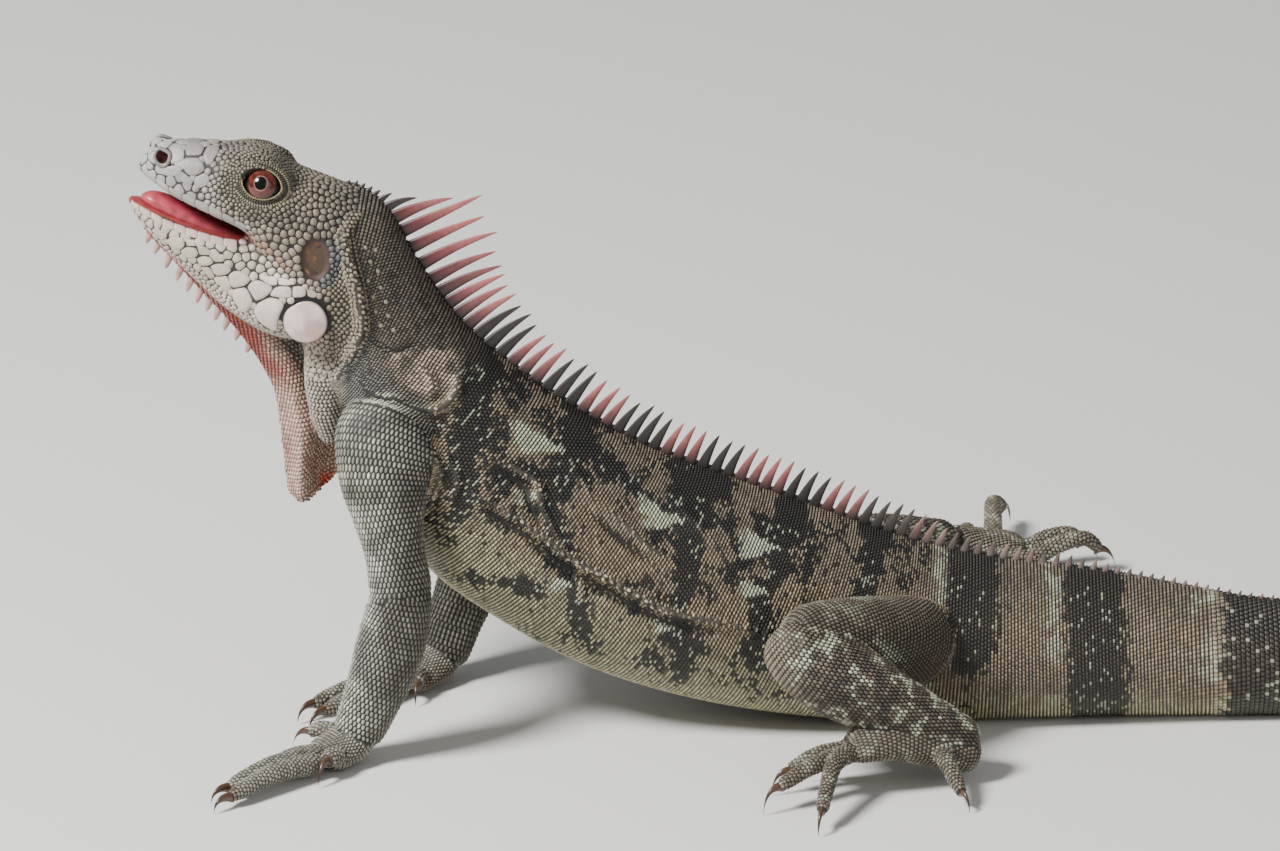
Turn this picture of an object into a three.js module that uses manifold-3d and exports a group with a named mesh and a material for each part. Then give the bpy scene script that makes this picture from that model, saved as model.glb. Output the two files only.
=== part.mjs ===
// A green iguana at life size, basking: forequarters raised, mouth open, belly and tail on the floor.
// Millimetres, +Z up. The head points to -X and the animal's left side to -Y.
// The flesh is a set of lofts through rings; each loft is cut clear of its neighbours, so that head,
// neck, trunk, tail and limbs are separate closed solids with a thin gap between them.

import * as THREE from 'three';
import Module from 'manifold-3d';
import { ParametricGeometry } from 'three/addons/geometries/ParametricGeometry.js';
import { mergeVertices } from 'three/addons/utils/BufferGeometryUtils.js';

const wasm = await Module();
wasm.setup();

// ---------- driving dimensions ----------

const gap = 0.35; // clearance between neighbouring pieces
const tailStart = 256; // x where the straight tail root ends and the curved tail begins
const tailHeight = 49; // tail height at tailStart
const tailTip = 3; // tail height at its very end
const eyeRadius = 7.8;
const eyeCentre = [-149.6, 15.4, 230.6];
const eardrum = { at: [-127.8, 23.4, 201.8], size: [5.8, 2.4, 8] };
const cheekPlate = { at: [-132.4, 23.4, 176], size: [9.2, 3.4, 9.2] };
const spineWidth = 2.2;

// Colours and finishes of the pieces
const look = {
  head: ['#a39d97', 0.6],
  grey: ['#6f6a62', 0.65],
  pale: ['#b9b5a6', 0.6],
  dewlap: ['#b08a80', 0.6],
  tongue: ['#c2525a', 0.3],
  eye: ['#7a3f26', 0.15],
  eardrum: ['#6b4a33', 0.5],
  plate: ['#d8c6c2', 0.45],
};

// ---------- rings of the flesh ----------

// A ring across the body: back (x, z), belly (x, z), half width, and how far the back is drawn to a ridge.
function bodyRing(backX, backZ, bellyX, bellyZ, half, ridge, square = 2) {
  return {
    centre: [(backX + bellyX) / 2, 0, (backZ + bellyZ) / 2],
    high: [(backX - bellyX) / 2, 0, (backZ - bellyZ) / 2],
    wide: [0, -half, 0],
    ridge,
    square,
  };
}

const trunkRings = [
  bodyRing(-126, 212, -136, 176, 19, 0.1),
  bodyRing(-118, 226, -134, 155, 24, 0.14), // nape and throat
  bodyRing(-102, 218, -127, 146, 24.5, 0.18),
  bodyRing(-88, 193, -122, 136, 26, 0.18),
  bodyRing(-71, 168, -115, 121, 29, 0.18),
  bodyRing(-48, 147, -102, 91, 34, 0.18), // shoulders
  bodyRing(-24, 130, -86, 65, 37.5, 0.18),
  bodyRing(4, 114, -56, 42, 40, 0.18),
  bodyRing(32, 103, -20, 22, 41, 0.17), // widest part of the belly
  bodyRing(64, 91, 24, 8, 40, 0.16),
  bodyRing(96, 79, 70, 0.5, 37, 0.15),
  bodyRing(120, 71.5, 112, -1.5, 33.5, 0.14), // hips
  bodyRing(148, 66, 148, -1.5, 28.5, 0.12),
  bodyRing(184, 61, 186, -1, 24, 0.12),
  bodyRing(220, 54, 222, -1, 20, 0.12),
];

// The tail sweeps in a slack S over the floor.
const tailCourse = new THREE.CatmullRomCurve3(
  [[tailStart, 0], [372, 9], [500, 38], [628, 58], [752, 40], [868, -6], [985, -34]]
    .map(([x, y]) => new THREE.Vector3(x, y, 0)),
  false, 'catmullrom', 0.5,
);
const tailRingCount = 9;

function tailRing(along) {
  const at = tailCourse.getPointAt(along);
  const ahead = tailCourse.getTangentAt(along);
  const height = tailTip + (tailHeight - tailTip) * (1 - along) ** 1.15;
  const half = height * (0.35 + 0.15 * along);
  return {
    centre: [at.x, at.y, height / 2 - 1],
    high: [0, 0, height / 2],
    wide: [ahead.y * half, -ahead.x * half, 0],
    ridge: 0.12 * (1 - along),
    square: 2,
  };
}

const bodyRings = [...trunkRings];
for (let i = 0; i < tailRingCount; i++) bodyRings.push(tailRing(i / (tailRingCount - 1)));

// Upper head, snout to nape: the top line is the crown, the bottom line the upper lip and jaw joint.
const headRings = [
  bodyRing(-199.4, 235.4, -199.6, 231.5, 3, 0),
  bodyRing(-192, 242.6, -194.3, 228, 8.6, 0.12, 2.3),
  bodyRing(-183, 243.4, -185.5, 222.6, 12.4, 0.16, 3),
  bodyRing(-169, 242.6, -173, 216.6, 15.4, 0.2, 3.3),
  bodyRing(-155, 241.6, -162, 212, 18.6, 0.18, 3.2),
  bodyRing(-146, 239.2, -156, 207.5, 21.2, 0.14, 2.8),
  bodyRing(-136, 232.6, -150, 196, 23.5, 0.12, 2.4),
  bodyRing(-127, 229, -140, 180, 25, 0.1, 2.3),
  bodyRing(-118, 225.5, -130, 172, 25, 0.1, 2.2),
  bodyRing(-108, 221, -120, 168, 22, 0.1),
];

// Lower jaw, chin to jaw angle, widest at the lip.
const jawRings = [
  bodyRing(-204.4, 222, -203.6, 217, 4, -0.1),
  bodyRing(-196, 218.5, -196, 207, 8.5, -0.12, 2.3),
  bodyRing(-183, 214, -187, 196, 13, -0.16, 2.4),
  bodyRing(-170, 211, -176, 185, 16.5, -0.16, 2.4),
  bodyRing(-160, 209, -166, 175, 19.5, -0.14, 2.3),
  bodyRing(-150, 207, -153, 166, 22.5, -0.1, 2.2),
  bodyRing(-138, 205, -141, 162, 24.8, -0.06, 2.2),
  bodyRing(-126, 202, -128, 162, 25.6, 0, 2.2),
  bodyRing(-116, 195, -118, 166, 23, 0),
];

// The hollow of the open mouth between the palate and the floor of the jaw, and the tongue lying in it.
const mouthRings = [
  bodyRing(-203, 226, -203, 219, 2.4, 0),
  bodyRing(-191, 231, -190, 212, 7, 0, 2.4),
  bodyRing(-178, 227, -177, 205.5, 10.5, 0, 2.6),
  bodyRing(-166, 219, -166, 202.5, 12.5, 0, 2.6),
  bodyRing(-158, 213, -158, 204, 12, 0),
];

const tongueRings = [
  bodyRing(-199, 222.6, -198, 217.6, 4, 0),
  bodyRing(-191, 222, -190, 213.4, 6, 0),
  bodyRing(-179, 217.5, -178, 207, 8, 0),
  bodyRing(-167, 211.5, -167, 204, 9.5, 0),
  bodyRing(-160, 209, -160, 204.6, 9, 0),
];

// ---------- lofting ----------

const toVector = (row) => new THREE.Vector3(...row);

// Catmull-Rom value of one number at position t between the rings
function smoothValue(values, t) {
  const last = values.length - 1;
  const i = Math.min(Math.floor(t), last - 1);
  const f = t - i;
  const p1 = values[i];
  const p2 = values[i + 1];
  const p0 = i > 0 ? values[i - 1] : 2 * p1 - p2;
  const p3 = i + 2 <= last ? values[i + 2] : 2 * p2 - p1;
  const bend = 2 * p0 - 5 * p1 + 4 * p2 - p3;
  return 0.5 * (2 * p1 + (p2 - p0) * f + bend * f * f + (3 * p1 - p0 - 3 * p2 + p3) * f ** 3);
}

// The ring at any position t along a list of rings
function ringAt(rings, t) {
  const mix = (pick) => smoothValue(rings.map(pick), t);
  const mixVector = (key) => new THREE.Vector3(
    mix((ring) => ring[key][0]), mix((ring) => ring[key][1]), mix((ring) => ring[key][2]));
  return {
    centre: mixVector('centre'),
    high: mixVector('high'),
    wide: mixVector('wide'),
    ridge: mix((ring) => ring.ridge),
    square: mix((ring) => ring.square),
  };
}

// A point on a ring: angle 0 is the top; square 2 is an ellipse and more is boxier; ridge narrows the top.
function onRing(ring, angle, scale) {
  const round = (value) => Math.sign(value) * Math.abs(value) ** (2 / ring.square);
  const up = round(Math.cos(angle));
  const side = round(Math.sin(angle)) * (1 - ring.ridge * up);
  return ring.centre.clone()
    .addScaledVector(ring.high, up * scale)
    .addScaledVector(ring.wide, side * scale);
}

// Positions along a loft: close together where its ends round off over the length of a cap
function stepsAlong(ringCount, steps, cap) {
  const span = ringCount - 1;
  const capSteps = 2;
  const list = [];
  for (let i = 0; i < capSteps; i++) list.push(cap * (1 - Math.cos((Math.PI / 2) * (i / capSteps))));
  for (let i = 0; i <= steps; i++) list.push(cap + (span - 2 * cap) * (i / steps));
  for (let i = capSteps - 1; i >= 0; i--) list.push(span - list[i]);
  return list;
}

function loftGeometry(rings, around, steps, cap = 0.6) {
  const places = stepsAlong(rings.length, steps, cap);
  const span = rings.length - 1;
  const sections = places.map((t) => ringAt(rings, t));
  const scales = places.map((t) => {
    const inward = Math.min(t, span - t) / cap;
    return inward >= 1 ? 1 : Math.sqrt(Math.max(0, 1 - (1 - inward) ** 2));
  });
  const surface = (u, v, target) => {
    const i = Math.round(v * (places.length - 1));
    target.copy(onRing(sections[i], 2 * Math.PI * u, scales[i]));
  };
  return new ParametricGeometry(surface, around, places.length - 1);
}

// ---------- solids ----------

// One indexed surface without doubled points or empty triangles, faces outward
function weld(geometry) {
  const bare = geometry.clone();
  bare.deleteAttribute('normal');
  bare.deleteAttribute('uv');
  const merged = mergeVertices(bare, 1e-3);
  const index = merged.index.array;
  const kept = [];
  for (let i = 0; i < index.length; i += 3) {
    const [a, b, c] = index.slice(i, i + 3);
    if (a !== b && b !== c && c !== a) kept.push(a, b, c);
  }
  merged.setIndex(kept);
  if (signedVolume(merged) < 0) merged.setIndex(kept.reverse());
  return merged;
}

function signedVolume(geometry) {
  const place = geometry.attributes.position;
  const corner = (i) => new THREE.Vector3().fromBufferAttribute(place, geometry.index.array[i]);
  let total = 0;
  for (let i = 0; i < geometry.index.count; i += 3) {
    total += corner(i).dot(corner(i + 1).cross(corner(i + 2)));
  }
  return total / 6;
}

// grow moves every point outward along its normal, for the clearance cut round a piece
function toSolid(geometry, grow = 0) {
  const welded = weld(geometry);
  const place = welded.attributes.position;
  if (grow) {
    welded.computeVertexNormals();
    const normal = welded.attributes.normal;
    for (let i = 0; i < place.count; i++) {
      place.setXYZ(i, place.getX(i) + grow * normal.getX(i), place.getY(i) + grow * normal.getY(i),
        place.getZ(i) + grow * normal.getZ(i));
    }
  }
  return new wasm.Manifold(new wasm.Mesh({
    numProp: 3,
    vertProperties: new Float32Array(place.array),
    triVerts: new Uint32Array(welded.index.array),
  }));
}

const solidAndClearance = (geometry) => ({ solid: toSolid(geometry), clear: toSolid(geometry, gap) });
const loft = (...shape) => solidAndClearance(loftGeometry(...shape));
const largest = (solid) => solid.decompose().sort((a, b) => b.volume() - a.volume())[0];

// Solid without the space that its neighbours and the floor take
function clearOf(solid, ...neighbours) {
  let left = solid;
  for (const neighbour of neighbours) left = left.subtract(neighbour.clear ?? neighbour);
  return largest(left);
}

function slab(length, depth, height, at, turn = 0) {
  const box = new THREE.BoxGeometry(length, depth, height);
  box.rotateY(turn);
  box.translate(...at);
  return toSolid(box);
}

const floor = slab(3000, 1200, 200, [0, 0, -100]);

function ball(at, size, around = 8, rows = 6) {
  const sphere = new THREE.SphereGeometry(1, around, rows);
  sphere.rotateX(Math.PI / 2);
  sphere.scale(...size);
  sphere.translate(...at);
  return solidAndClearance(sphere);
}

const group = new THREE.Group();

function addPiece(name, solid, [colour, roughness]) {
  const { vertProperties, triVerts } = solid.getMesh();
  const geometry = new THREE.BufferGeometry();
  geometry.setAttribute('position', new THREE.BufferAttribute(new Float32Array(vertProperties), 3));
  geometry.setIndex(new THREE.BufferAttribute(new Uint32Array(triVerts), 1));
  geometry.computeVertexNormals();
  const mesh = new THREE.Mesh(geometry, new THREE.MeshStandardMaterial({ color: colour, roughness, metalness: 0 }));
  mesh.name = name;
  group.add(mesh);
}

// ---------- head ----------

const bothSides = [['left', -1], ['right', 1]];
const onSide = ([x, y, z], side) => [x, side * y, z];

const upperHead = loft(headRings, 14, 9, 0.6);
const lowerJaw = loft(jawRings, 12, 8, 0.6);
const mouth = loft(mouthRings, 10, 5, 0.8).solid;
const tongue = loft(tongueRings, 8, 4, 1);
const eyes = bothSides.map(([, side]) => ball(onSide(eyeCentre, side), [eyeRadius, eyeRadius, eyeRadius]));
const eardrums = bothSides.map(([, side]) => ball(onSide(eardrum.at, side), eardrum.size, 8, 4));
const cheekPlates = bothSides.map(([, side]) => ball(onSide(cheekPlate.at, side), cheekPlate.size, 10, 4));

addPiece('head', clearOf(upperHead.solid, mouth, lowerJaw, ...eyes, ...eardrums, ...cheekPlates), look.head);
addPiece('lower_jaw', clearOf(lowerJaw.solid, mouth, ...cheekPlates), look.pale);
addPiece('tongue', clearOf(tongue.solid, upperHead.solid.subtract(mouth)), look.tongue);
bothSides.forEach(([name], i) => {
  addPiece(`eye_${name}`, eyes[i].solid, look.eye);
  addPiece(`eardrum_${name}`, eardrums[i].solid, look.eardrum);
  addPiece(`cheek_plate_${name}`, cheekPlates[i].solid, look.plate);
});

// ---------- neck, trunk and tail ----------

const body = loft(bodyRings, 12, 28, 0.5);
const bodySpan = bodyRings.length - 1;

// The back line, as samples of ring position and running length from the nape
const napeAt = 2;
const crestEnd = 15;
const backLine = [];
for (let i = 0, length = 0; i <= 260; i++) {
  const t = napeAt + ((crestEnd - napeAt) * i) / 260;
  const ring = ringAt(bodyRings, t);
  const place = ring.centre.clone().add(ring.high);
  if (i) length += place.distanceTo(backLine[i - 1].place);
  backLine.push({ t, place, length });
}

function backAt(length) {
  const i = Math.max(1, backLine.findIndex((sample) => sample.length >= length));
  const [before, after] = [backLine[i - 1], backLine[i]];
  const f = (length - before.length) / (after.length - before.length);
  return {
    t: before.t + f * (after.t - before.t),
    place: before.place.clone().lerp(after.place, f),
    along: after.place.clone().sub(before.place).normalize(),
  };
}

// The crest by distance from the nape: [distance, spacing, spine length, lean towards the tail].
// The spines are tallest on the neck and shrink to points on the root of the tail.
const crestRows = [
  [0, 4.7, 7, 0.2], [4.7, 5.6, 17, 0.36], [10.3, 7.1, 32.5, 0], [17.4, 8.2, 34.5, 0.02],
  [26, 8.2, 34, 0.1], [42, 5.8, 28, 0.16], [52, 6, 24, 0.12], [70, 6, 20.5, 0.22],
  [100, 5.8, 17.5, 0.12], [150, 5.3, 15.3, 0.14], [232, 5.3, 14.3, 0.16], [265, 5.3, 12, 0.18],
  [271, 5.3, 9.5, 0.2], [277, 5.3, 7.2, 0.2], [300, 5.3, 6.6, 0.2], [320, 5.3, 5, 0.2],
  [352, 5.3, 2.8, 0.2],
];

function spineAt(distance) {
  const i = Math.max(1, crestRows.findIndex(([at]) => at >= distance));
  const [before, after] = [crestRows[i - 1], crestRows[i]];
  const f = (distance - before[0]) / (after[0] - before[0]);
  const [, spacing, length, lean] = before.map((value, k) => value + f * (after[k] - value));
  return { distance, spacing, length, lean };
}

const spines = [];
while (!spines.length || spines.at(-1).distance + spines.at(-1).spacing < crestRows.at(-1)[0]) {
  const last = spines.at(-1);
  spines.push(spineAt(last ? last.distance + last.spacing : 0));
}

// A flattened, slightly hooked cone that stands on the back and leans towards the tail
function spineSolid({ distance, length, lean }) {
  const { place, along } = backAt(distance);
  const out = new THREE.Vector3(-along.z, 0, along.x);
  const root = Math.min(3.2, 1.5 + length * 0.075);
  const sunk = 2;
  const surface = (u, v, target) => {
    const rise = v * (length + sunk) - sunk;
    const up = Math.max(0, rise) / length;
    const size = v === 0 || v === 1 ? 0 : (1 - up) ** 0.8;
    const angle = 2 * Math.PI * u;
    target.copy(place)
      .addScaledVector(out, rise)
      .addScaledVector(along, lean * length * up ** 1.6 + root * size * Math.cos(angle));
    target.y += (spineWidth / 2) * size * Math.sin(angle);
  };
  return toSolid(new ParametricGeometry(surface, 4, 3));
}

// Thin cuts that part the body, each half way between two spines where there is a crest
function midway(t) {
  const wanted = backLine.find((sample) => sample.t >= t).length;
  const i = spines.findIndex((spine) => spine.distance > wanted);
  return backAt((spines[i - 1].distance + spines[i].distance) / 2).t;
}

function cutAt(t) {
  const ring = ringAt(bodyRings, t);
  const cut = new THREE.BoxGeometry(gap, 140, 140);
  const up = ring.high.clone().normalize();
  const side = ring.wide.clone().normalize();
  const turn = new THREE.Matrix4().makeBasis(side.clone().cross(up).negate(), side, up);
  cut.applyMatrix4(turn);
  cut.translate(...ring.centre);
  return toSolid(cut);
}

const cutPlaces = [midway(5), midway(11.5), 14.9, 17.3, 20];
const lengthNames = ['neck', 'trunk', 'tail_root', 'tail_middle', 'tail_rear', 'tail_whip'];

function bodyLengths() {
  let parted = body.solid.subtract(floor);
  for (const t of cutPlaces) parted = parted.subtract(cutAt(t));
  for (const piece of [upperHead, lowerJaw, ...cheekPlates]) parted = parted.subtract(piece.clear);
  const middle = (solid) => solid.boundingBox().min[0] + solid.boundingBox().max[0];
  return parted.decompose()
    .filter((solid) => solid.volume() > 100)
    .sort((a, b) => middle(a) - middle(b));
}

const crestCuts = [...cutPlaces.slice(0, 3), bodySpan];
bodyLengths().forEach((solid, i) => {
  const from = i ? cutPlaces[i - 1] : 0;
  const to = crestCuts[i] ?? 0;
  let whole = solid;
  for (const spine of spines) {
    const { t } = backAt(spine.distance);
    if (t > from && t < to) whole = whole.add(spineSolid(spine));
  }
  addPiece(lengthNames[i], i ? whole : clearOf(whole, upperHead), look.grey);
});

// ---------- dewlap ----------

// Front edge (x, z) and root (x, z) of the throat flap from chin to chest, its half thickness,
// and how far it swings sideways in its folds.
const dewlapRows = [
  { edge: [-199.5, 209.5], root: [-190, 212], half: 1.2, fold: 0 },
  { edge: [-195.5, 204], root: [-182, 205], half: 1.7, fold: 0 },
  { edge: [-184.5, 191.5], root: [-168, 194], half: 2.2, fold: 0 },
  { edge: [-174.5, 179.5], root: [-154, 183], half: 2.5, fold: 0.5 },
  { edge: [-165.5, 169.3], root: [-140, 173], half: 2.8, fold: 1.5 },
  { edge: [-155, 155], root: [-126, 160], half: 3, fold: 3 },
  { edge: [-147, 139.5], root: [-116, 143], half: 3, fold: 5 },
  { edge: [-144, 121], root: [-111, 128], half: 2.8, fold: 7 },
  { edge: [-142.5, 105], root: [-117, 116], half: 2.6, fold: 7 },
  { edge: [-140.5, 88], root: [-120.5, 97], half: 2.2, fold: 5 },
];

function dewlapRing({ edge, root, half, fold }) {
  return {
    centre: [(edge[0] + root[0]) / 2, 0, (edge[1] + root[1]) / 2],
    high: [(edge[0] - root[0]) / 2, 0, (edge[1] - root[1]) / 2],
    wide: [0, -half, 0],
    ridge: 0,
    square: 3,
    fold,
  };
}

// The flap as a flat loft, then swung sideways in an S across its width
function dewlapGeometry() {
  const rings = dewlapRows.map(dewlapRing);
  const steps = 8;
  const places = stepsAlong(rings.length, steps, 0.5);
  const flat = loftGeometry(rings, 10, steps, 0.5);
  const place = flat.attributes.position;
  const rowLength = place.count / places.length;
  for (let i = 0; i < place.count; i++) {
    const t = places[Math.floor(i / rowLength)];
    const ring = ringAt(rings, t);
    const fold = smoothValue(rings.map((row) => row.fold), t);
    const offset = new THREE.Vector3().fromBufferAttribute(place, i).sub(ring.centre);
    const across = (1 - offset.dot(ring.high) / ring.high.lengthSq()) / 2;
    place.setY(i, place.getY(i) - fold * Math.sin(2 * Math.PI * across) * Math.min(1, 4 * across));
  }
  return flat;
}

// Comb of small points hanging from the front edge
function combPoint(i, count) {
  const ring = ringAt(dewlapRows.map(dewlapRing), 0.9 + (3.9 * i) / (count - 1));
  const length = 3.4 + 2.6 * Math.sin((Math.PI * (i + 1)) / (count + 1));
  const cone = new THREE.ConeGeometry(1.3, length + 1.5, 4, 1);
  cone.rotateX(-Math.PI / 2);
  cone.rotateY(0.45);
  const root = ring.centre.clone().add(ring.high);
  cone.translate(root.x + 0.4 - 0.2 * length, root.y, root.z + 0.4 - length / 2);
  return toSolid(cone);
}

const combCount = 11;
let dewlap = toSolid(dewlapGeometry());
for (let i = 0; i < combCount; i++) dewlap = dewlap.add(combPoint(i, combCount));
addPiece('dewlap', clearOf(dewlap, upperHead, lowerJaw, body, tongue, ...cheekPlates), look.dewlap);

// ---------- limbs ----------

// Rings of a limb from rows of [x, y, z, half width, half depth]; depth points along `facing`.
function limbRings(rows, facing, square = 2) {
  const middles = rows.map((row) => toVector(row.slice(0, 3)));
  return rows.map(([, , , half, depth], i) => {
    const ahead = middles[Math.min(i + 1, rows.length - 1)].clone().sub(middles[Math.max(i - 1, 0)]).normalize();
    const deep = facing.clone().addScaledVector(ahead, -facing.dot(ahead)).normalize();
    const across = ahead.clone().cross(deep);
    return {
      centre: middles[i].toArray(),
      high: deep.multiplyScalar(depth).toArray(),
      wide: across.multiplyScalar(half).toArray(),
      ridge: 0,
      square,
    };
  });
}

const outward = (side) => new THREE.Vector3(0, side, 0);
const upward = new THREE.Vector3(0, 0, 1);

const limbs = {
  left_arm: {
    side: -1,
    names: ['upper_arm_left', 'forearm_left', 'hand_left', 'finger_left'],
    upper: [
      [-93, -16, 137, 20, 14], [-99.5, -27, 126, 22.5, 15], [-101.5, -34, 112, 18.5, 13.5],
      [-100, -38.5, 98, 14.4, 12.8], [-97.5, -42, 84, 12.2, 12], [-95.5, -45, 71, 12.6, 12],
      [-95, -46.5, 62, 10, 9.5],
    ],
    lower: [
      [-94.5, -45.5, 78, 9, 9], [-95, -46.5, 69, 12.2, 12], [-97.5, -48, 56, 13.6, 12.8],
      [-101.2, -50, 41.5, 13.8, 12], [-106.8, -51.8, 26, 11.8, 10], [-111.6, -53, 14.5, 10.6, 9],
      [-114, -54, 9, 8.8, 8],
    ],
    palm: [
      [-110, -52.5, 14, 8, 7], [-115, -54.5, 9, 10.5, 8], [-122, -58, 5.8, 12, 6.6],
      [-129, -62.5, 4.2, 11, 5.2],
    ],
    digits: [
      [[-118, -50, 7, 4], [-126, -45.5, 10.4, 3.5], [-133, -43, 8, 2.9]],
      [[-124, -58, 5, 4.2], [-138, -67, 7.5, 3.6], [-149, -74.5, 4.8, 2.9]],
      [[-126, -63, 5, 4.8], [-146, -79, 8.4, 4], [-165, -95.5, 4.6, 3.2]],
      [[-126, -68, 5, 4.8], [-145, -86, 7.8, 4], [-164, -105, 4.4, 3.2]],
      [[-118, -64, 5, 4.6], [-122, -71, 9, 4], [-125, -77, 8.4, 3.2]],
    ],
  },
  right_arm: {
    side: 1,
    names: ['upper_arm_right', 'forearm_right', 'hand_right', 'finger_right'],
    upper: [
      [-86, 16, 137, 17, 13], [-92, 27, 124, 18, 14], [-89, 36, 108, 15, 13],
      [-81, 42.5, 90, 13, 12.4], [-73, 47, 74, 12.4, 12], [-68, 49.5, 62, 10, 9.5],
    ],
    lower: [
      [-63, 49, 76, 8, 8], [-63, 49, 67, 12.2, 11.6], [-65, 46.5, 53, 13.6, 12.4],
      [-69.5, 42, 38, 13, 11.8], [-75, 37.5, 24, 11.4, 10.4], [-78.5, 34.5, 13, 10.2, 9],
      [-80.5, 33.5, 8, 8.8, 8],
    ],
    palm: [
      [-77, 35, 13, 8, 7], [-82.5, 31.5, 8.6, 10.5, 7.6], [-90.5, 25.5, 5.8, 12, 6.2], [-98.5, 17.5, 4.6, 11, 5],
    ],
    digits: [
      [[-88, 21, 6, 4], [-89.5, 14, 9, 3.6], [-90, 8.5, 7, 2.9]],
      [[-95, 16, 5, 4.2], [-103, 6, 8, 3.6], [-109, -2, 5.6, 2.9]],
      [[-98, 13, 5, 4.6], [-113, -4, 8, 4], [-128, -19, 6.4, 3.2]],
      [[-100, 17, 5, 4.6], [-116, 3, 8.4, 4], [-132.5, -11.5, 6.6, 3.2]],
      [[-91, 34, 5, 4.2], [-98, 39, 8, 3.6], [-104, 44, 5.6, 2.9]],
    ],
  },
  left_leg: {
    side: -1,
    names: ['thigh_left', 'shank_left', 'foot_left', 'toe_left'],
    upper: [
      [118, -10, 36, 17, 16], [110, -25, 40, 19, 17], [98.5, -41, 47, 18, 16.5],
      [83, -57, 54.5, 16, 15.5], [68, -68, 58, 14.2, 14], [59, -74, 57, 11, 11],
    ],
    lower: [
      [55, -68, 62, 9, 9], [60, -72, 57, 13.6, 14], [73, -75, 48.5, 17, 16.5],
      [90, -75.5, 38, 15.6, 15], [108.5, -73.5, 27, 12.4, 12], [125, -71, 17, 10.5, 10],
      [132.5, -70, 11.5, 9, 8.6],
    ],
    palm: [
      [134.5, -70, 10, 8, 7.5], [128, -72, 12, 10, 9], [114, -76.5, 16.5, 10.5, 8.5],
      [101, -80.5, 19.5, 11, 7.6], [90, -83.5, 19.5, 11, 6.8], [82, -85.5, 17.5, 10, 5.6],
    ],
    digits: [
      [[92, -77, 15, 4], [82, -77, 15, 3.4], [73, -77, 8.6, 2.8]],
      [[86, -80, 16, 4.2], [70.5, -84, 15, 3.5], [58, -89, 9.5, 2.9]],
      [[84, -85, 16.5, 4.4], [68, -97, 15, 3.6], [54, -107.5, 10, 3]],
      [[86, -86, 18, 4.6], [77.5, -101, 18.5, 3.8], [74, -115, 13.5, 3.3], [71.5, -128, 7.5, 2.8]],
      [[122, -78, 13, 4.6], [121, -88, 15, 3.8], [124.5, -98, 11, 3.2], [128, -105, 6.4, 2.7]],
    ],
  },
  right_leg: {
    side: 1,
    names: ['thigh_right', 'shank_right', 'foot_right', 'toe_right'],
    upper: [
      [132, 10, 32, 22, 20], [119, 27, 35, 22, 19], [108, 46, 36, 19, 17],
      [98, 64, 36.5, 16.5, 15.5], [90, 79, 36, 14, 13.5], [85, 88, 35, 10.5, 10.5],
    ],
    lower: [
      [83, 80, 37, 9, 9], [86, 88, 35, 13.2, 13], [94.5, 102, 30, 14.5, 14],
      [107, 120, 24.5, 12.5, 12], [119, 136, 19, 10.4, 10], [127, 147, 15.5, 9.2, 8.6],
    ],
    palm: [
      [123, 141, 15.5, 8, 7.5], [129, 147, 14, 9.5, 8.2], [139, 150.5, 12, 11, 7.2],
      [150, 152, 10.8, 12, 6.4], [159, 153, 8.8, 11, 5.4],
    ],
    digits: [
      [[134, 156, 9, 4.2], [135, 166, 12.5, 3.6], [135.5, 175, 7, 2.9]],
      [[145, 159, 8, 4.4], [146, 175, 12, 4], [146.5, 192, 14.5, 3.6], [151, 201, 9.5, 3]],
      [[157, 151, 8, 4.4], [167, 156, 13, 3.7], [177, 159, 14, 3.3], [183, 161, 9, 2.9]],
      [[160, 145, 8, 4.6], [172, 146, 14, 3.9], [183, 148.5, 16, 3.4], [190, 150, 10.5, 2.9]],
      [[141, 142, 9, 4.6], [156, 137, 12, 4], [168, 132.5, 8, 3.2]],
    ],
  },
};

// Claw: a hooked cone from the toe's end down to the floor
function clawSolid(tip, ahead, thick) {
  const reach = 3.4 * thick;
  const root = tip.clone().addScaledVector(ahead, -thick);
  const surface = (u, v, target) => {
    const bend = Math.sin(v * Math.PI * 0.5);
    const drop = 1 - Math.cos(v * Math.PI * 0.5);
    const fat = v === 0 || v === 1 ? 0 : thick * 0.72 * (1.02 - v);
    const angle = 2 * Math.PI * u;
    const across = new THREE.Vector3(-ahead.y, ahead.x, 0).normalize();
    target.copy(root)
      .addScaledVector(ahead, (reach + thick) * bend * 0.8)
      .addScaledVector(across, fat * 0.7 * Math.sin(angle));
    target.z += -drop * (root.z - 0.3) + fat * Math.cos(angle);
  };
  return toSolid(new ParametricGeometry(surface, 4, 3));
}

function digitPiece(rows) {
  const rings = limbRings(rows.map(([x, y, z, thick]) => [x, y, z, thick, thick]), upward);
  const toe = toSolid(loftGeometry(rings, 6, 2, 0.35));
  const end = toVector(rows.at(-1).slice(0, 3));
  const ahead = end.clone().sub(toVector(rows.at(-2).slice(0, 3)));
  ahead.z = 0;
  return { toe, whole: toe.add(clawSolid(end, ahead.normalize(), rows.at(-1)[3])) };
}

for (const { side, names, upper, lower, palm, digits } of Object.values(limbs)) {
  const upperLoft = loft(limbRings(upper, outward(side)), 8, 4);
  const lowerLoft = loft(limbRings(lower, outward(side)), 8, 4);
  const palmLoft = loft(limbRings(palm, upward), 8, 3);
  addPiece(names[0], clearOf(upperLoft.solid, body, lowerLoft, floor), look.grey);
  addPiece(names[1], clearOf(lowerLoft.solid, body, floor), look.grey);
  addPiece(names[2], clearOf(palmLoft.solid, lowerLoft, floor), look.grey);
  const placed = [];
  digits.forEach((rows, i) => {
    const { whole } = digitPiece(rows);
    addPiece(`${names[3]}_${i + 1}`, clearOf(whole, palmLoft, lowerLoft, ...placed, floor), look.grey);
    placed.push(solidGrown(whole));
  });
}

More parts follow.
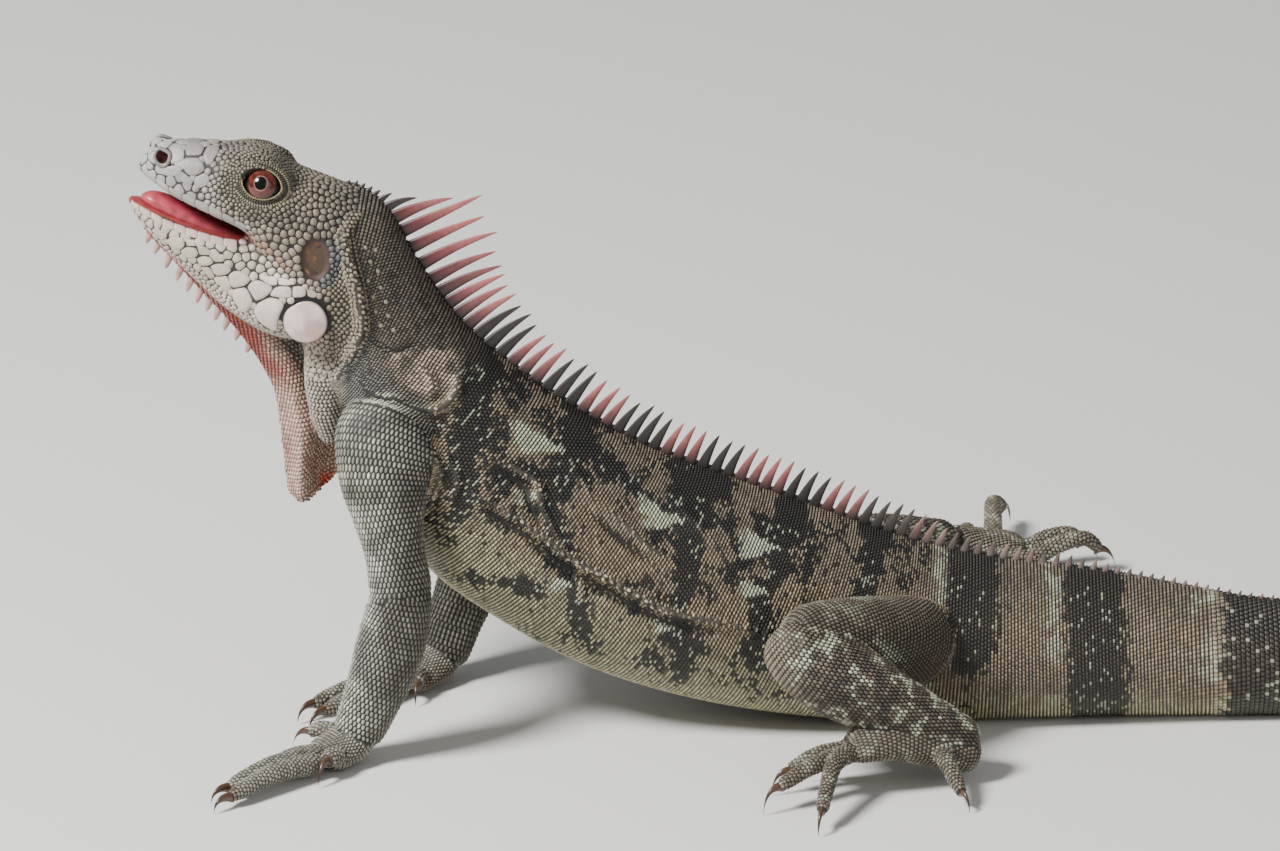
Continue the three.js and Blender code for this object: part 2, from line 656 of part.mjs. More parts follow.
function solidGrown(solid) {
  const { vertProperties, triVerts } = solid.getMesh();
  const geometry = new THREE.BufferGeometry();
  geometry.setAttribute('position', new THREE.BufferAttribute(new Float32Array(vertProperties), 3));
  geometry.setIndex(new THREE.BufferAttribute(new Uint32Array(triVerts), 1));
  return toSolid(geometry, gap);
}

// ---------- origin: middle of the floor rectangle under the whole animal ----------

const bounds = new THREE.Box3().setFromObject(group);
const middle = bounds.getCenter(new THREE.Vector3());
for (const mesh of group.children) mesh.position.set(-middle.x, -middle.y, -bounds.min.z);

export default group;
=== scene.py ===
import bpy
import numpy as np
from numpy import (arange, array, clip, column_stack, concatenate, cos, cross, exp, hypot, interp, linspace,
                   maximum, pi, repeat, roll, sin, stack, where)
from numpy.linalg import norm
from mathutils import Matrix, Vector
from mathutils.kdtree import KDTree


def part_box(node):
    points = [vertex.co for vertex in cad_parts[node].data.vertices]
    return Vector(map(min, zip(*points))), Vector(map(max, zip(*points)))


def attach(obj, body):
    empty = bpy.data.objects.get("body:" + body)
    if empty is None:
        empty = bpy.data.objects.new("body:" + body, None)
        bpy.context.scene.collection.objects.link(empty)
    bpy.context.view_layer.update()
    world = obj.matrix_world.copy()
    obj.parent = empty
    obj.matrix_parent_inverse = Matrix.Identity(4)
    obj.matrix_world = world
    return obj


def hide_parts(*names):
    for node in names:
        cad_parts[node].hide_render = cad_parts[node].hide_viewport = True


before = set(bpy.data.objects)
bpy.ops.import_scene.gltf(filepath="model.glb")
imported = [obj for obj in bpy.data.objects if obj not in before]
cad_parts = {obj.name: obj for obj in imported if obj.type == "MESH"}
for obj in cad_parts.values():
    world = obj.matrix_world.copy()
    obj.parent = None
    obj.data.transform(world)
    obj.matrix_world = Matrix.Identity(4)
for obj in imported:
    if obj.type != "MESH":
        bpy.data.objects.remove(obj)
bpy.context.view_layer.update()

# A basking green iguana. Shapes are worked out in millimetres about the middle of the trunk,
# head to -X and the left side to -Y, and moved into the frame when a mesh is made.

turn = 2 * pi
chance = np.random.default_rng(11)
eyeShape = {"centre": (-149.6, -15.4, 230.6), "radius": 7.6, "gaze": (-0.10, -0.87, 0.46),
            "iris": 6.1, "pupil": 2.5, "opening": (8.2, 6.1), "slant": 0.2, "sunk": 1.6,
            "mound": (12.8, 10.6, 9.5), "moundIn": 3}
sideNames = (("left", -1), ("right", 1))
lowEye, highEye = (array(corner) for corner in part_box("eye_left"))
shiftMm = (lowEye + highEye) * 500 - array(eyeShape["centre"])


def inFrame(pointsMm):  # millimetres about the trunk to metres in the frame
    return (np.asarray(pointsMm, float) + shiftMm) / 1000


def unit(v):
    return v / maximum(norm(v, axis=-1, keepdims=True), 1e-9)


def paint(r, g, b):  # screen colour 0-255 to linear
    c = array([r, g, b]) / 255
    return where(c <= 0.04045, c / 12.92, ((c + 0.055) / 1.055) ** 2.4)


def ease(x, low, high):  # 0 below low, 1 above high, smooth between
    f = clip((x - low) / (high - low), 0, 1)
    return f * f * (3 - 2 * f)


def fade(x, low, high):  # 1 below low, 0 above high
    return 1 - ease(x, low, high)


def circle(count):  # angles at even steps once round
    return linspace(0, turn, count, endpoint=False)


def running(line):  # the length run along a line up to each of its points
    return concatenate([[0], np.cumsum(norm(np.diff(line, axis=0), axis=1))])


def cloud(points, size, seed=0):
    # smooth noise 0-1: random values on a lattice of the given size, blended by eased distance
    p = np.asarray(points) / size + seed * 17.3
    cell = np.floor(p).astype(np.int64)
    f = p - cell
    f = f * f * (3 - 2 * f)
    total = np.zeros(len(p))
    for corner in range(8):
        step = array([corner & 1, corner >> 1 & 1, corner >> 2 & 1])
        q = cell + step
        h = (q[:, 0] * 73856093 ^ q[:, 1] * 19349663 ^ q[:, 2] * 83492791) & 0xFFFFFF
        h = (h * 1103515245 + 12345 + seed * 7919) & 0x7FFFFFFF
        weight = np.prod(where(step, f, 1 - f), axis=1)
        total += weight * ((h >> 8) % 1024) / 1023
    return total


# a body is a row of rings, each a centre, a half height, a half width, a ridge and a squareness
def bodyRing(backX, backZ, bellyX, bellyZ, half, ridge=0, square=2):
    return [(backX + bellyX) / 2, 0, (backZ + bellyZ) / 2, (backX - bellyX) / 2, 0,
            (backZ - bellyZ) / 2, 0, -half, 0, ridge, square]


def bodyRows(*rows):
    return array([bodyRing(*row) for row in rows], float)


def smoothRows(rows, t):
    # between rows b and c with a before and d after:
    # half of 2b + (c-a)f + (2a-5b+4c-d)f^2 + (3b-a-3c+d)f^3
    rows = np.asarray(rows, float)
    t = np.asarray(t, float)
    full = np.vstack([2 * rows[0] - rows[1], rows, 2 * rows[-1] - rows[-2]])
    i = clip(np.floor(t).astype(int), 0, len(rows) - 2)
    f = (t - i)[..., None]
    a, b, c, d = (full[i + k] for k in range(4))
    return 0.5 * (2 * b + (c - a) * f + (2 * a - 5 * b + 4 * c - d) * f**2 + (3 * b - a - 3 * c + d) * f**3)


def onLoft(rings, t, angle, cap=0.6, grow=0.0):
    # centre + high*up + wide*side, with up and side rounded powers of cos and sin of the angle from
    # the top, side narrowed by the ridge, and both shrunk on a quarter circle over the end caps
    r = smoothRows(rings, t)
    high, wide = r[..., 3:6], r[..., 6:9]
    power = 2 / maximum(r[..., 10], 1.2)
    c, s = cos(angle), sin(angle)
    up = np.sign(c) * abs(c) ** power
    side = np.sign(s) * abs(s) ** power * (1 - r[..., 9] * up)
    inward = clip(np.minimum(t, len(rings) - 1 - t) / cap, 0, 1)
    scale = np.sqrt(maximum(0, 1 - (1 - inward) ** 2))
    tall, broad = (maximum(length + grow, 0.1) / length
                   for length in (norm(high, axis=-1), norm(wide, axis=-1)))
    return r[..., 0:3] + high * (up * scale * tall)[..., None] + wide * (side * scale * broad)[..., None]


def stations(span, along, around, cap):
    # ring positions, closer together at the rounded ends, crossed with angles round the ring
    ends = cap * (1 - cos(linspace(0, pi / 2, 7)[:-1]))
    t = concatenate([ends, linspace(cap, span - cap, along), span - ends[::-1]])
    return np.meshgrid(t, circle(around), indexing="ij")


def loftGrid(rings, along, around, cap=0.6, grow=0.0):
    return onLoft(rings, *stations(len(rings) - 1, along, around, cap), cap, grow)


def limbRings(rows, facing):
    # rows are x, y, z, half width, half depth; the depth points along facing, square to the limb
    rows = np.asarray(rows, float)
    mid = rows[:, :3]
    last = len(rows) - 1
    ahead = unit(array([mid[min(i + 1, last)] - mid[max(i - 1, 0)] for i in range(last + 1)]))
    facing = np.asarray(facing, float)
    deep = unit(facing - ahead * (ahead @ facing)[:, None])
    across = cross(ahead, deep)
    ones = np.ones((len(rows), 1))
    return np.hstack([mid, deep * rows[:, 4:5], across * rows[:, 3:4], 0 * ones, 2 * ones])


trunkRings = bodyRows(
    (-126, 212, -136, 176, 19, 0.1), (-118, 226, -134, 155, 24, 0.14),
    (-102, 218, -127, 146, 24.5, 0.18), (-88, 193, -122, 136, 26, 0.18),
    (-71, 168, -115, 121, 29, 0.18), (-48, 147, -102, 91, 34, 0.18),
    (-24, 130, -86, 65, 37.5, 0.18), (4, 114, -56, 42, 40, 0.18),
    (32, 103, -20, 22, 41, 0.17), (64, 91, 24, 8, 40, 0.16),
    (96, 79, 70, 0.5, 37, 0.15), (120, 71.5, 112, -1.5, 33.5, 0.14),
    (148, 66, 148, -1.5, 28.5, 0.12), (184, 61, 186, -1, 24, 0.12),
    (220, 54, 222, -1, 20, 0.12))
tailShape = {"height": 49, "tip": 3, "rings": 9,
             "course": [(256, 0), (372, 9), (500, 38), (628, 58), (752, 40), (868, -6), (985, -34)]}


def tailRings():
    # the tail's middle runs through its course at even lengths; its height thins out to the tip
    course = array(tailShape["course"], float)
    t = linspace(0, len(course) - 1, 1201)
    line = smoothRows(course, t)
    run = running(line)
    s = linspace(0, 1, tailShape["rings"])
    at = stack([interp(s * run[-1], run, line[:, k]) for k in range(2)], axis=1)
    ahead = np.gradient(line, axis=0)
    ahead = unit(stack([interp(s * run[-1], run, ahead[:, k]) for k in range(2)], axis=1))
    height = tailShape["tip"] + (tailShape["height"] - tailShape["tip"]) * (1 - s) ** 1.15
    half = height * (0.35 + 0.15 * s)
    zero = 0 * s
    return stack([at[:, 0], at[:, 1], height / 2 - 1, zero, zero, height / 2,
                  ahead[:, 1] * half, -ahead[:, 0] * half, zero, 0.12 * (1 - s), zero + 2], axis=1)


bodyRings = np.vstack([trunkRings, tailRings()])
headRings = bodyRows(
    (-199.4, 235.4, -199.6, 231.5, 3), (-192, 242.6, -194.3, 228, 8.6, 0.12, 2.3),
    (-183, 243.4, -185.5, 222.6, 12.4, 0.16, 3), (-169, 242.6, -173, 216.6, 15.4, 0.2, 3.3),
    (-155, 241.6, -162, 212, 18.6, 0.18, 3.2), (-146, 239.2, -156, 207.5, 21.2, 0.14, 2.8),
    (-136, 232.6, -150, 196, 23.5, 0.12, 2.4), (-127, 229, -140, 180, 25, 0.1, 2.3),
    (-118, 225.5, -130, 172, 25, 0.1, 2.2), (-108, 221, -120, 168, 22, 0.1))
jawRings = bodyRows(
    (-204.4, 222, -203.6, 217, 4, -0.1), (-196, 218.5, -196, 207, 8.5, -0.12, 2.3),
    (-183, 214, -187, 196, 13, -0.16, 2.4), (-170, 211, -176, 185, 16.5, -0.16, 2.4),
    (-160, 209, -166, 175, 19.5, -0.14, 2.3), (-150, 207, -153, 166, 22.5, -0.1, 2.2),
    (-138, 205, -141, 162, 24.8, -0.06, 2.2), (-126, 202, -128, 162, 25.6, 0, 2.2),
    (-116, 195, -118, 166, 23))
mouthRings = bodyRows(
    (-206, 228, -206, 219, 3), (-191, 231, -190, 212, 7, 0, 2.4),
    (-178, 227, -177, 205.5, 10.5, 0, 2.6), (-166, 219, -166, 202.5, 12.5, 0, 2.6),
    (-158, 213, -158, 204, 12))
tongueRings = bodyRows(
    (-199, 222.6, -198, 217.6, 4), (-191, 222, -190, 213.4, 6),
    (-179, 217.5, -178, 207, 8), (-167, 211.5, -167, 204, 9.5),
    (-160, 209, -160, 204.6, 9))

limbs = {
    "arm_left": {"side": -1,
        "upper": [(-93, -16, 137, 20, 14), (-99.5, -27, 126, 22.5, 15), (-101.5, -34, 112, 18.5, 13.5),
         (-100, -38.5, 98, 14.4, 12.8), (-97.5, -42, 84, 12.2, 12), (-95.5, -45, 71, 12.6, 12),
         (-95, -46.5, 62, 10, 9.5)],
        "lower": [(-94.5, -45.5, 78, 9, 9), (-95, -46.5, 69, 12.2, 12), (-97.5, -48, 56, 13.6, 12.8),
         (-101.2, -50, 41.5, 13.8, 12), (-106.8, -51.8, 26, 11.8, 10), (-111.6, -53, 14.5, 10.6, 9),
         (-114, -54, 9, 8.8, 8)],
        "palm": [(-110, -52.5, 14, 8, 7), (-115, -54.5, 9, 10.5, 8), (-122, -58, 5.8, 12, 6.6),
         (-129, -62.5, 4.2, 11, 5.2)],
        "digits": [
         [(-118, -50, 7, 4), (-126, -45.5, 10.4, 3.5), (-133, -43, 8, 2.9)],
         [(-124, -58, 5, 4.2), (-138, -67, 7.5, 3.6), (-149, -74.5, 4.8, 2.9)],
         [(-126, -63, 5, 4.8), (-146, -79, 8.4, 4), (-165, -95.5, 4.6, 3.2)],
         [(-126, -68, 5, 4.8), (-145, -86, 7.8, 4), (-164, -105, 4.4, 3.2)],
         [(-118, -64, 5, 4.6), (-122, -71, 9, 4), (-125, -77, 8.4, 3.2)]]},
    "arm_right": {"side": 1,
        "upper": [(-86, 16, 137, 17, 13), (-92, 27, 124, 18, 14), (-89, 36, 108, 15, 13),
         (-81, 42.5, 90, 13, 12.4), (-73, 47, 74, 12.4, 12), (-68, 49.5, 62, 10, 9.5)],
        "lower": [(-63, 49, 76, 8, 8), (-63, 49, 67, 12.2, 11.6), (-65, 46.5, 53, 13.6, 12.4),
         (-69.5, 42, 38, 13, 11.8), (-75, 37.5, 24, 11.4, 10.4), (-78.5, 34.5, 13, 10.2, 9),
         (-80.5, 33.5, 8, 8.8, 8)],
        "palm": [(-77, 35, 13, 8, 7), (-82.5, 31.5, 8.6, 10.5, 7.6), (-90.5, 25.5, 5.8, 12, 6.2),
         (-98.5, 17.5, 4.6, 11, 5)],
        "digits": [
         [(-88, 21, 6, 4), (-89.5, 14, 9, 3.6), (-90, 8.5, 7, 2.9)],
         [(-95, 16, 5, 4.2), (-103, 6, 8, 3.6), (-109, -2, 5.6, 2.9)],
         [(-98, 13, 5, 4.6), (-113, -4, 8, 4), (-128, -19, 6.4, 3.2)],
         [(-100, 17, 5, 4.6), (-116, 3, 8.4, 4), (-132.5, -11.5, 6.6, 3.2)],
         [(-91, 34, 5, 4.2), (-98, 39, 8, 3.6), (-104, 44, 5.6, 2.9)]]},
    "leg_left": {"side": -1,
        "upper": [(118, -10, 36, 17, 16), (110, -25, 40, 19, 17), (98.5, -41, 47, 18, 16.5),
         (83, -57, 54.5, 16, 15.5), (68, -68, 58, 14.2, 14), (59, -74, 57, 11, 11)],
        "lower": [(55, -68, 62, 9, 9), (60, -72, 57, 13.6, 14), (73, -75, 48.5, 17, 16.5),
         (90, -75.5, 38, 15.6, 15), (108.5, -73.5, 27, 12.4, 12), (125, -71, 17, 10.5, 10),
         (132.5, -70, 11.5, 9, 8.6)],
        "palm": [(134.5, -70, 10, 8, 7.5), (128, -72, 12, 10, 9), (114, -76.5, 16.5, 10.5, 8.5),
         (101, -80.5, 19.5, 11, 7.6), (90, -83.5, 19.5, 11, 6.8), (82, -85.5, 17.5, 10, 5.6)],
        "digits": [
         [(92, -77, 15, 4), (82, -77, 15, 3.4), (73, -77, 8.6, 2.8)],
         [(86, -80, 16, 4.2), (70.5, -84, 15, 3.5), (58, -89, 9.5, 2.9)],
         [(84, -85, 16.5, 4.4), (68, -97, 15, 3.6), (54, -107.5, 10, 3)],
         [(86, -86, 18, 4.6), (77.5, -101, 18.5, 3.8), (74, -115, 13.5, 3.3), (71.5, -128, 7.5, 2.8)],
         [(122, -78, 13, 4.6), (121, -88, 15, 3.8), (124.5, -98, 11, 3.2), (128, -105, 6.4, 2.7)]]},
    "leg_right": {"side": 1,
        "upper": [(132, 10, 32, 22, 20), (119, 27, 35, 22, 19), (108, 46, 36, 19, 17),
         (98, 64, 36.5, 16.5, 15.5), (90, 79, 36, 14, 13.5), (85, 88, 35, 10.5, 10.5)],
        "lower": [(83, 80, 37, 9, 9), (86, 88, 35, 13.2, 13), (94.5, 102, 30, 14.5, 14),
         (107, 120, 24.5, 12.5, 12), (119, 136, 19, 10.4, 10), (127, 147, 15.5, 9.2, 8.6)],
        "palm": [(123, 141, 15.5, 8, 7.5), (129, 147, 14, 9.5, 8.2), (139, 150.5, 12, 11, 7.2),
         (150, 152, 10.8, 12, 6.4), (159, 153, 8.8, 11, 5.4)],
        "digits": [
         [(134, 156, 9, 4.2), (135, 166, 12.5, 3.6), (135.5, 175, 7, 2.9)],
         [(145, 159, 8, 4.4), (146, 175, 12, 4), (146.5, 192, 14.5, 3.6), (151, 201, 9.5, 3)],
         [(157, 151, 8, 4.4), (167, 156, 13, 3.7), (177, 159, 14, 3.3), (183, 161, 9, 2.9)],
         [(160, 145, 8, 4.6), (172, 146, 14, 3.9), (183, 148.5, 16, 3.4), (190, 150, 10.5, 2.9)],
         [(141, 142, 9, 4.6), (156, 137, 12, 4), (168, 132.5, 8, 3.2)]]},
}
for limb in limbs.values():
    sideways = (0, limb["side"], 0)
    for key, facing in (("upper", sideways), ("lower", sideways), ("palm", (0, 0, 1))):
        limb[key + "Rings"] = limbRings(limb[key], facing)
    limb["digitRings"] = [limbRings([(x, y, z, r, r) for x, y, z, r in rows], (0, 0, 1))
                          for rows in limb["digits"]]

dewlapShape = {
    "edge": [(-199.5, 209.5), (-195.5, 204), (-184.5, 191.5), (-174.5, 179.5), (-165.5, 169.3),
             (-155, 155), (-147, 139.5), (-144, 121), (-142.5, 105), (-140.5, 88)],
    "root": [(-190, 212), (-182, 205), (-168, 194), (-154, 183), (-140, 173), (-126, 160),
             (-116, 143), (-111, 128), (-117, 116), (-120.5, 97)],
    "half": [1.2, 1.7, 2.2, 2.5, 2.8, 3, 3, 2.8, 2.6, 2.2],
    "fold": [0, 0, 0, 0.5, 1.5, 3, 5, 7, 7, 5]}


def dewlapRings():
    edge, root = array(dewlapShape["edge"]), array(dewlapShape["root"])
    zero = np.zeros(len(edge))
    mid, reach = (edge + root) / 2, (edge - root) / 2
    return stack([mid[:, 0], zero, mid[:, 1], reach[:, 0], zero, reach[:, 1],
                  zero, -array(dewlapShape["half"]), zero, zero, zero + 3], axis=1)


def onDewlap(t, angle, grow=0.0):
    # the flat flap, swung sideways by -fold * sin(once round per width), fading at its front edge
    rings = dewlapRings()
    p = onLoft(rings, t, angle, 0.5, grow)
    r = smoothRows(rings, t)
    fold = smoothRows(array(dewlapShape["fold"], float)[:, None], t)[..., 0]
    reach = np.sum((p - r[..., :3]) * r[..., 3:6], axis=-1) / np.sum(r[..., 3:6] ** 2, axis=-1)
    across = (1 - reach) / 2
    p[..., 1] -= fold * sin(turn * across) * np.minimum(1, 4 * across)
    return p


def placed(name, data):
    thing = bpy.data.objects.new(name, data)
    bpy.context.scene.collection.objects.link(thing)
    return thing


def setPoints(mesh, pointsMm):
    mesh.vertices.foreach_set("co", inFrame(pointsMm).astype(np.float32).ravel())


def makeMesh(name, pointsMm, faces, smooth=True):
    # points are an array, faces a list of arrays, each with one row of point numbers per face
    mesh = bpy.data.meshes.new(name)
    mesh.vertices.add(len(pointsMm))
    setPoints(mesh, pointsMm)
    loops = concatenate([f.ravel() for f in faces])
    sizes = concatenate([np.full(len(f), f.shape[1]) for f in faces])
    mesh.loops.add(len(loops))
    mesh.loops.foreach_set("vertex_index", loops.astype(np.int32))
    mesh.polygons.add(len(sizes))
    mesh.polygons.foreach_set("loop_start", concatenate([[0], np.cumsum(sizes)[:-1]]).astype(np.int32))
    mesh.update(calc_edges=True)
    mesh.polygons.foreach_set("use_smooth", np.full(len(sizes), smooth))
    mesh.validate()
    return placed(name, mesh)


def gridFaces(rows, columns, start=0, flip=False):
    # quads of a tube of rows rings, closed round its columns, and a fan of triangles at each end
    i = arange(rows - 1)[:, None] * columns
    j = arange(columns)[None, :]
    k = (j + 1) % columns
    quads = stack([i + j, i + k, i + columns + k, i + columns + j], axis=-1).reshape(-1, 4) + start
    first, last = start + rows * columns, start + rows * columns + 1
    j, k = j[0], k[0]
    ends = concatenate([
        stack([np.full(columns, first), start + k, start + j], axis=-1),
        stack([np.full(columns, last), start + (rows - 1) * columns + j,
               start + (rows - 1) * columns + k], axis=-1)])
    if flip:
        quads, ends = quads[:, ::-1], ends[:, ::-1]
    return [quads, ends]


def tubeMesh(name, grids, flip=True):
    # closed tubes from grids of rings, each ended by a point at the middle of its last ring
    points, quads, ends, start = [], [], [], 0
    for grid in grids:
        rows, columns = grid.shape[:2]
        points += [grid.reshape(-1, 3), grid[0].mean(axis=0)[None], grid[-1].mean(axis=0)[None]]
        q, e = gridFaces(rows, columns, start, flip)
        quads.append(q)
        ends.append(e)
        start += rows * columns + 2
    return makeMesh(name, concatenate(points), [concatenate(quads), concatenate(ends)])


def sweep(path, radius):
    # a tube of 12 sides along a path: ring points are path + radius*(across*cos + over*sin)
    ahead = unit(np.gradient(path, axis=0))
    across = unit(cross(ahead, [0.31, 0.9, 0.29]))
    over = cross(across, ahead)
    a = circle(12)[None, :, None]
    return path[:, None] + radius[:, None, None] * (across[:, None] * cos(a) + over[:, None] * sin(a))


def modified(piece, kind, **settings):
    modifier = piece.modifiers.new(kind.lower(), kind)
    for key, value in settings.items():
        setattr(modifier, key, value)
    return modifier


def settled(piece):  # the piece's mesh with its modifiers made real
    depsgraph = bpy.context.evaluated_depsgraph_get()
    mesh = bpy.data.meshes.new_from_object(piece.evaluated_get(depsgraph))
    piece.modifiers.clear()
    old = piece.data
    piece.data = mesh
    bpy.data.meshes.remove(old)
    return piece


def verticesOf(mesh, what):
    values = np.empty(len(mesh.vertices) * 3, np.float32)
    mesh.vertices.foreach_get(what, values)
    return values.reshape(-1, 3)


def pointsOf(mesh):  # vertex places in millimetres about the trunk
    return verticesOf(mesh, "co").astype(float) * 1000 - shiftMm


def drop(piece):
    mesh = piece.data
    bpy.data.objects.remove(piece)
    bpy.data.meshes.remove(mesh)


def coloured(piece, colours, look):
    tint = piece.data.attributes.new("tint", "FLOAT_COLOR", "POINT")
    tint.data.foreach_set("color", column_stack([colours, np.ones(len(colours))]).astype(np.float32).ravel())
    piece.data.materials.append(look)


print("shapes of the flesh")
coat = {"depth": 0.45, "voxel": 0.00115, "smooth": 5, "keep": 0.385}
eyeAxes = {}  # of each eye its middle, and its axes towards the snout, upwards and along the gaze
for name, side in sideNames:
    gaze = unit(array(eyeShape["gaze"]) * [1, -side, 1])
    ahead = unit(cross(gaze, [0, 0, 1]) * side)  # towards the snout
    over = cross(ahead, gaze)
    eyeAxes[name] = (array(eyeShape["centre"]) * [1, -side, 1] - gaze * eyeShape["sunk"],
                     -np.sign(ahead[0]) * ahead, np.sign(over[2]) * over, gaze)


def lidPoint(eye, reach, angle):
    # almond round the gaze, reach times the opening: ahead*cos, over*sin*|sin|^0.2, laid on the mound
    centre, ahead, over, gaze = eye
    wide, tall = eyeShape["opening"]
    long, high, deep = eyeShape["mound"]
    u = wide * reach * cos(angle)
    v = tall * reach * sin(angle) * abs(sin(angle)) ** clip(0.5 - 0.3 * reach, 0, 0.2)
    slant = eyeShape["slant"] * clip(2.2 - reach, 0, 1)
    u, v = u * cos(slant) - v * sin(slant), v * cos(slant) + u * sin(slant)
    w = deep * np.sqrt(maximum(0.05, 1 - (u / long) ** 2 - (v / high) ** 2)) - eyeShape["moundIn"]
    return centre + ahead * u[..., None] + over * v[..., None] + gaze * w[..., None]


def ringTube(path, radius):
    # a closed tube round a closed path
    ahead = unit(roll(path, -1, axis=0) - roll(path, 1, axis=0))
    out = unit(path - path.mean(axis=0))
    over = unit(cross(ahead, out))
    out = cross(over, ahead)
    a = circle(12)[None, :, None]
    return path[:, None] + radius * (out[:, None] * cos(a) + over[:, None] * sin(a))


def ringMesh(name, grid):
    # a tube closed both ways round
    rows, columns = grid.shape[:2]
    i, j = arange(rows)[:, None], arange(columns)[None, :]
    ii, jj = (i + 1) % rows, (j + 1) % columns
    quads = stack([i * columns + j, i * columns + jj, ii * columns + jj, ii * columns + j], axis=-1)
    return makeMesh(name, grid.reshape(-1, 3), [quads.reshape(-1, 4)])


def ball(centre, size):
    a, b = np.meshgrid(linspace(0, pi, 20)[1:-1], circle(24), indexing="ij")
    sphere = stack([sin(a) * cos(b), sin(a) * sin(b), cos(a)], axis=-1)
    return np.asarray(centre, float) + sphere * np.asarray(size, float)


def sideLine(points, steps=30):  # a smooth line through points
    points = np.asarray(points, float)
    return smoothRows(points, linspace(0, len(points) - 1, steps))


def throatFold(side):  # a loose fold of skin that hangs from the throat behind the dewlap
    return limbRings([(-124.5, 12.5 * side, 174, 4.5, 8), (-125, 13.4 * side, 160, 5.4, 8.6),
                      (-125.5, 13 * side, 147, 6, 8.2), (-125, 10.6 * side, 133, 6, 6.6),
                      (-124, 7 * side, 118, 4.6, 3.4)], (1, -0.25 * side, 0))


def fleshPieces():
    grow = -coat["depth"]
    grids = [loftGrid(bodyRings, 300, 64, 0.5, grow)]
    for limb in limbs.values():
        for key, along, around in (("upperRings", 40, 32), ("lowerRings", 40, 32), ("palmRings", 26, 26)):
            grids.append(loftGrid(limb[key], along, around, 0.6, grow))
        grids += [loftGrid(rings, 24, 18, 0.35, grow * 0.7) for rings in limb["digitRings"]]
    grids.append(onDewlap(*stations(len(dewlapShape["edge"]) - 1, 70, 60, 0.5), grow * 0.6))
    for name, side in sideNames:
        neckFold = sideLine([(-118.5, 21.5 * side, 213), (-116, 23.5 * side, 200), (-112.5, 24 * side, 186),
                             (-110.5, 24.4 * side, 172), (-115, 24.5 * side, 160), (-121, 20.5 * side, 150)])
        grids.append(sweep(neckFold, 2.3 * sin(linspace(0.35, pi - 0.3, len(neckFold))) ** 0.5))
        grids.append(loftGrid(throatFold(side), 30, 24, 0.4))
        grids.append(ball((-155, 13.5 * side, 236.6), (10.5, 4.6, 2.8)))  # brow
        grids.append(ball((-190.6, 7.2 * side, 238.8), (4.8, 2.6, 4.6)))  # nostril swelling
        centre, ahead, over, gaze = eyeAxes[name]
        q = ball((0, 0, 0), array(eyeShape["mound"]) - [0.4, 0.4, 0.45])
        grids.append(centre - gaze * eyeShape["moundIn"] + q[..., :1] * ahead + q[..., 1:2] * over
                     + q[..., 2:] * gaze)
        grids.append(ball((-137, 17 * side, 186), (14, 8.6, 15)))  # jaw muscle
    return grids


flesh = tubeMesh("flesh", fleshPieces())
mouthCutter = tubeMesh("mouthCutter", [loftGrid(mouthRings, 30, 32, 0.8)])
heads = [tubeMesh("upper", [loftGrid(headRings, 60, 48, 0.6, -coat["depth"])]),
         tubeMesh("jaw", [loftGrid(jawRings, 50, 40, 0.6, -coat["depth"])])]
for piece in heads:
    modified(piece, "BOOLEAN", operation="DIFFERENCE", solver="EXACT", object=mouthCutter)
    settled(piece)
bpy.ops.object.select_all(action="DESELECT")
for piece in [flesh] + heads:
    piece.select_set(True)
bpy.context.view_layer.objects.active = flesh
bpy.ops.object.join()
skin = flesh
skin.name = skin.data.name = "skin"
drop(mouthCutter)
modified(skin, "REMESH", mode="VOXEL", voxel_size=coat["voxel"])
modified(skin, "SMOOTH", factor=0.5, iterations=coat["smooth"])
settled(skin)
print("skin", len(skin.data.vertices))


# the skin's hollows for eyes, nostrils and eardrums, and its flat underside
ear = {"centre": (-128.8, 23.6, 202.2), "facing": (0.12, 0.98, 0.1), "size": (6.2, 9.0), "hollow": 1.8}
nostril = {"centre": (-189.6, 9.0, 240.6), "facing": (-0.34, 0.86, 0.36), "size": (2.8, 3.6), "hollow": 3.8}
plate = {"centre": (-132.9, 25.2, 176.6), "radius": 9.0, "facing": (-0.08, 0.99, 0.05)}


def spotAxes(spot, side):
    # a spot's middle, and its axes towards the snout, upwards and out of the head
    centre, facing = (array(spot[key], float) * [1, side, 1] for key in ("centre", "facing"))
    facing = unit(facing)
    ahead = unit(array([-1.0, 0, 0]) + facing * facing[0])
    over = cross(ahead, facing)
    return centre, ahead, (over if over[2] > 0 else -over), facing


def seenFrom(p, axes):  # places measured along a spot's or an eye's three axes
    q = p - axes[0]
    return q @ axes[1], q @ axes[2], q @ axes[3]


def sculpt(p):
    for name, side in sideNames:
        u, v, w = seenFrom(p, eyeAxes[name])
        wide, tall = eyeShape["opening"]
        slant = eyeShape["slant"]
        across, upright = u * cos(slant) + v * sin(slant), v * cos(slant) - u * sin(slant)
        inside = fade(hypot(across / wide, upright / tall), 0.66, 1.04)
        p = p - eyeAxes[name][3] * (maximum(w + 2, 0) * inside * (w > -6))[:, None]
        for spot in (ear, nostril):
            axes = spotAxes(spot, side)
            u, v, w = seenFrom(p, axes)
            inside = fade(hypot(u / spot["size"][0], v / spot["size"][1]), 0.7, 1.05)
            p = p - axes[3] * (spot["hollow"] * inside * (abs(w) < 7))[:, None]
    p[:, 2] = maximum(p[:, 2], coat["depth"])
    return p


sideLean, sideOut = 0.384, 20


def flatTo(p):  # along and height on the animal's side, as if all of it stood sideOut from the middle
    return p[:, 0], p[:, 2] + sideLean * (sideOut - abs(p[:, 1]))


foldLine = array([(150, -122), (160, -116), (172, -112), (186, -113), (200, -116), (213, -118),
                  (225, -112)], float)


def foldAt(z):  # where the fold behind the head runs at a height on the side
    return interp(z, *foldLine.T)


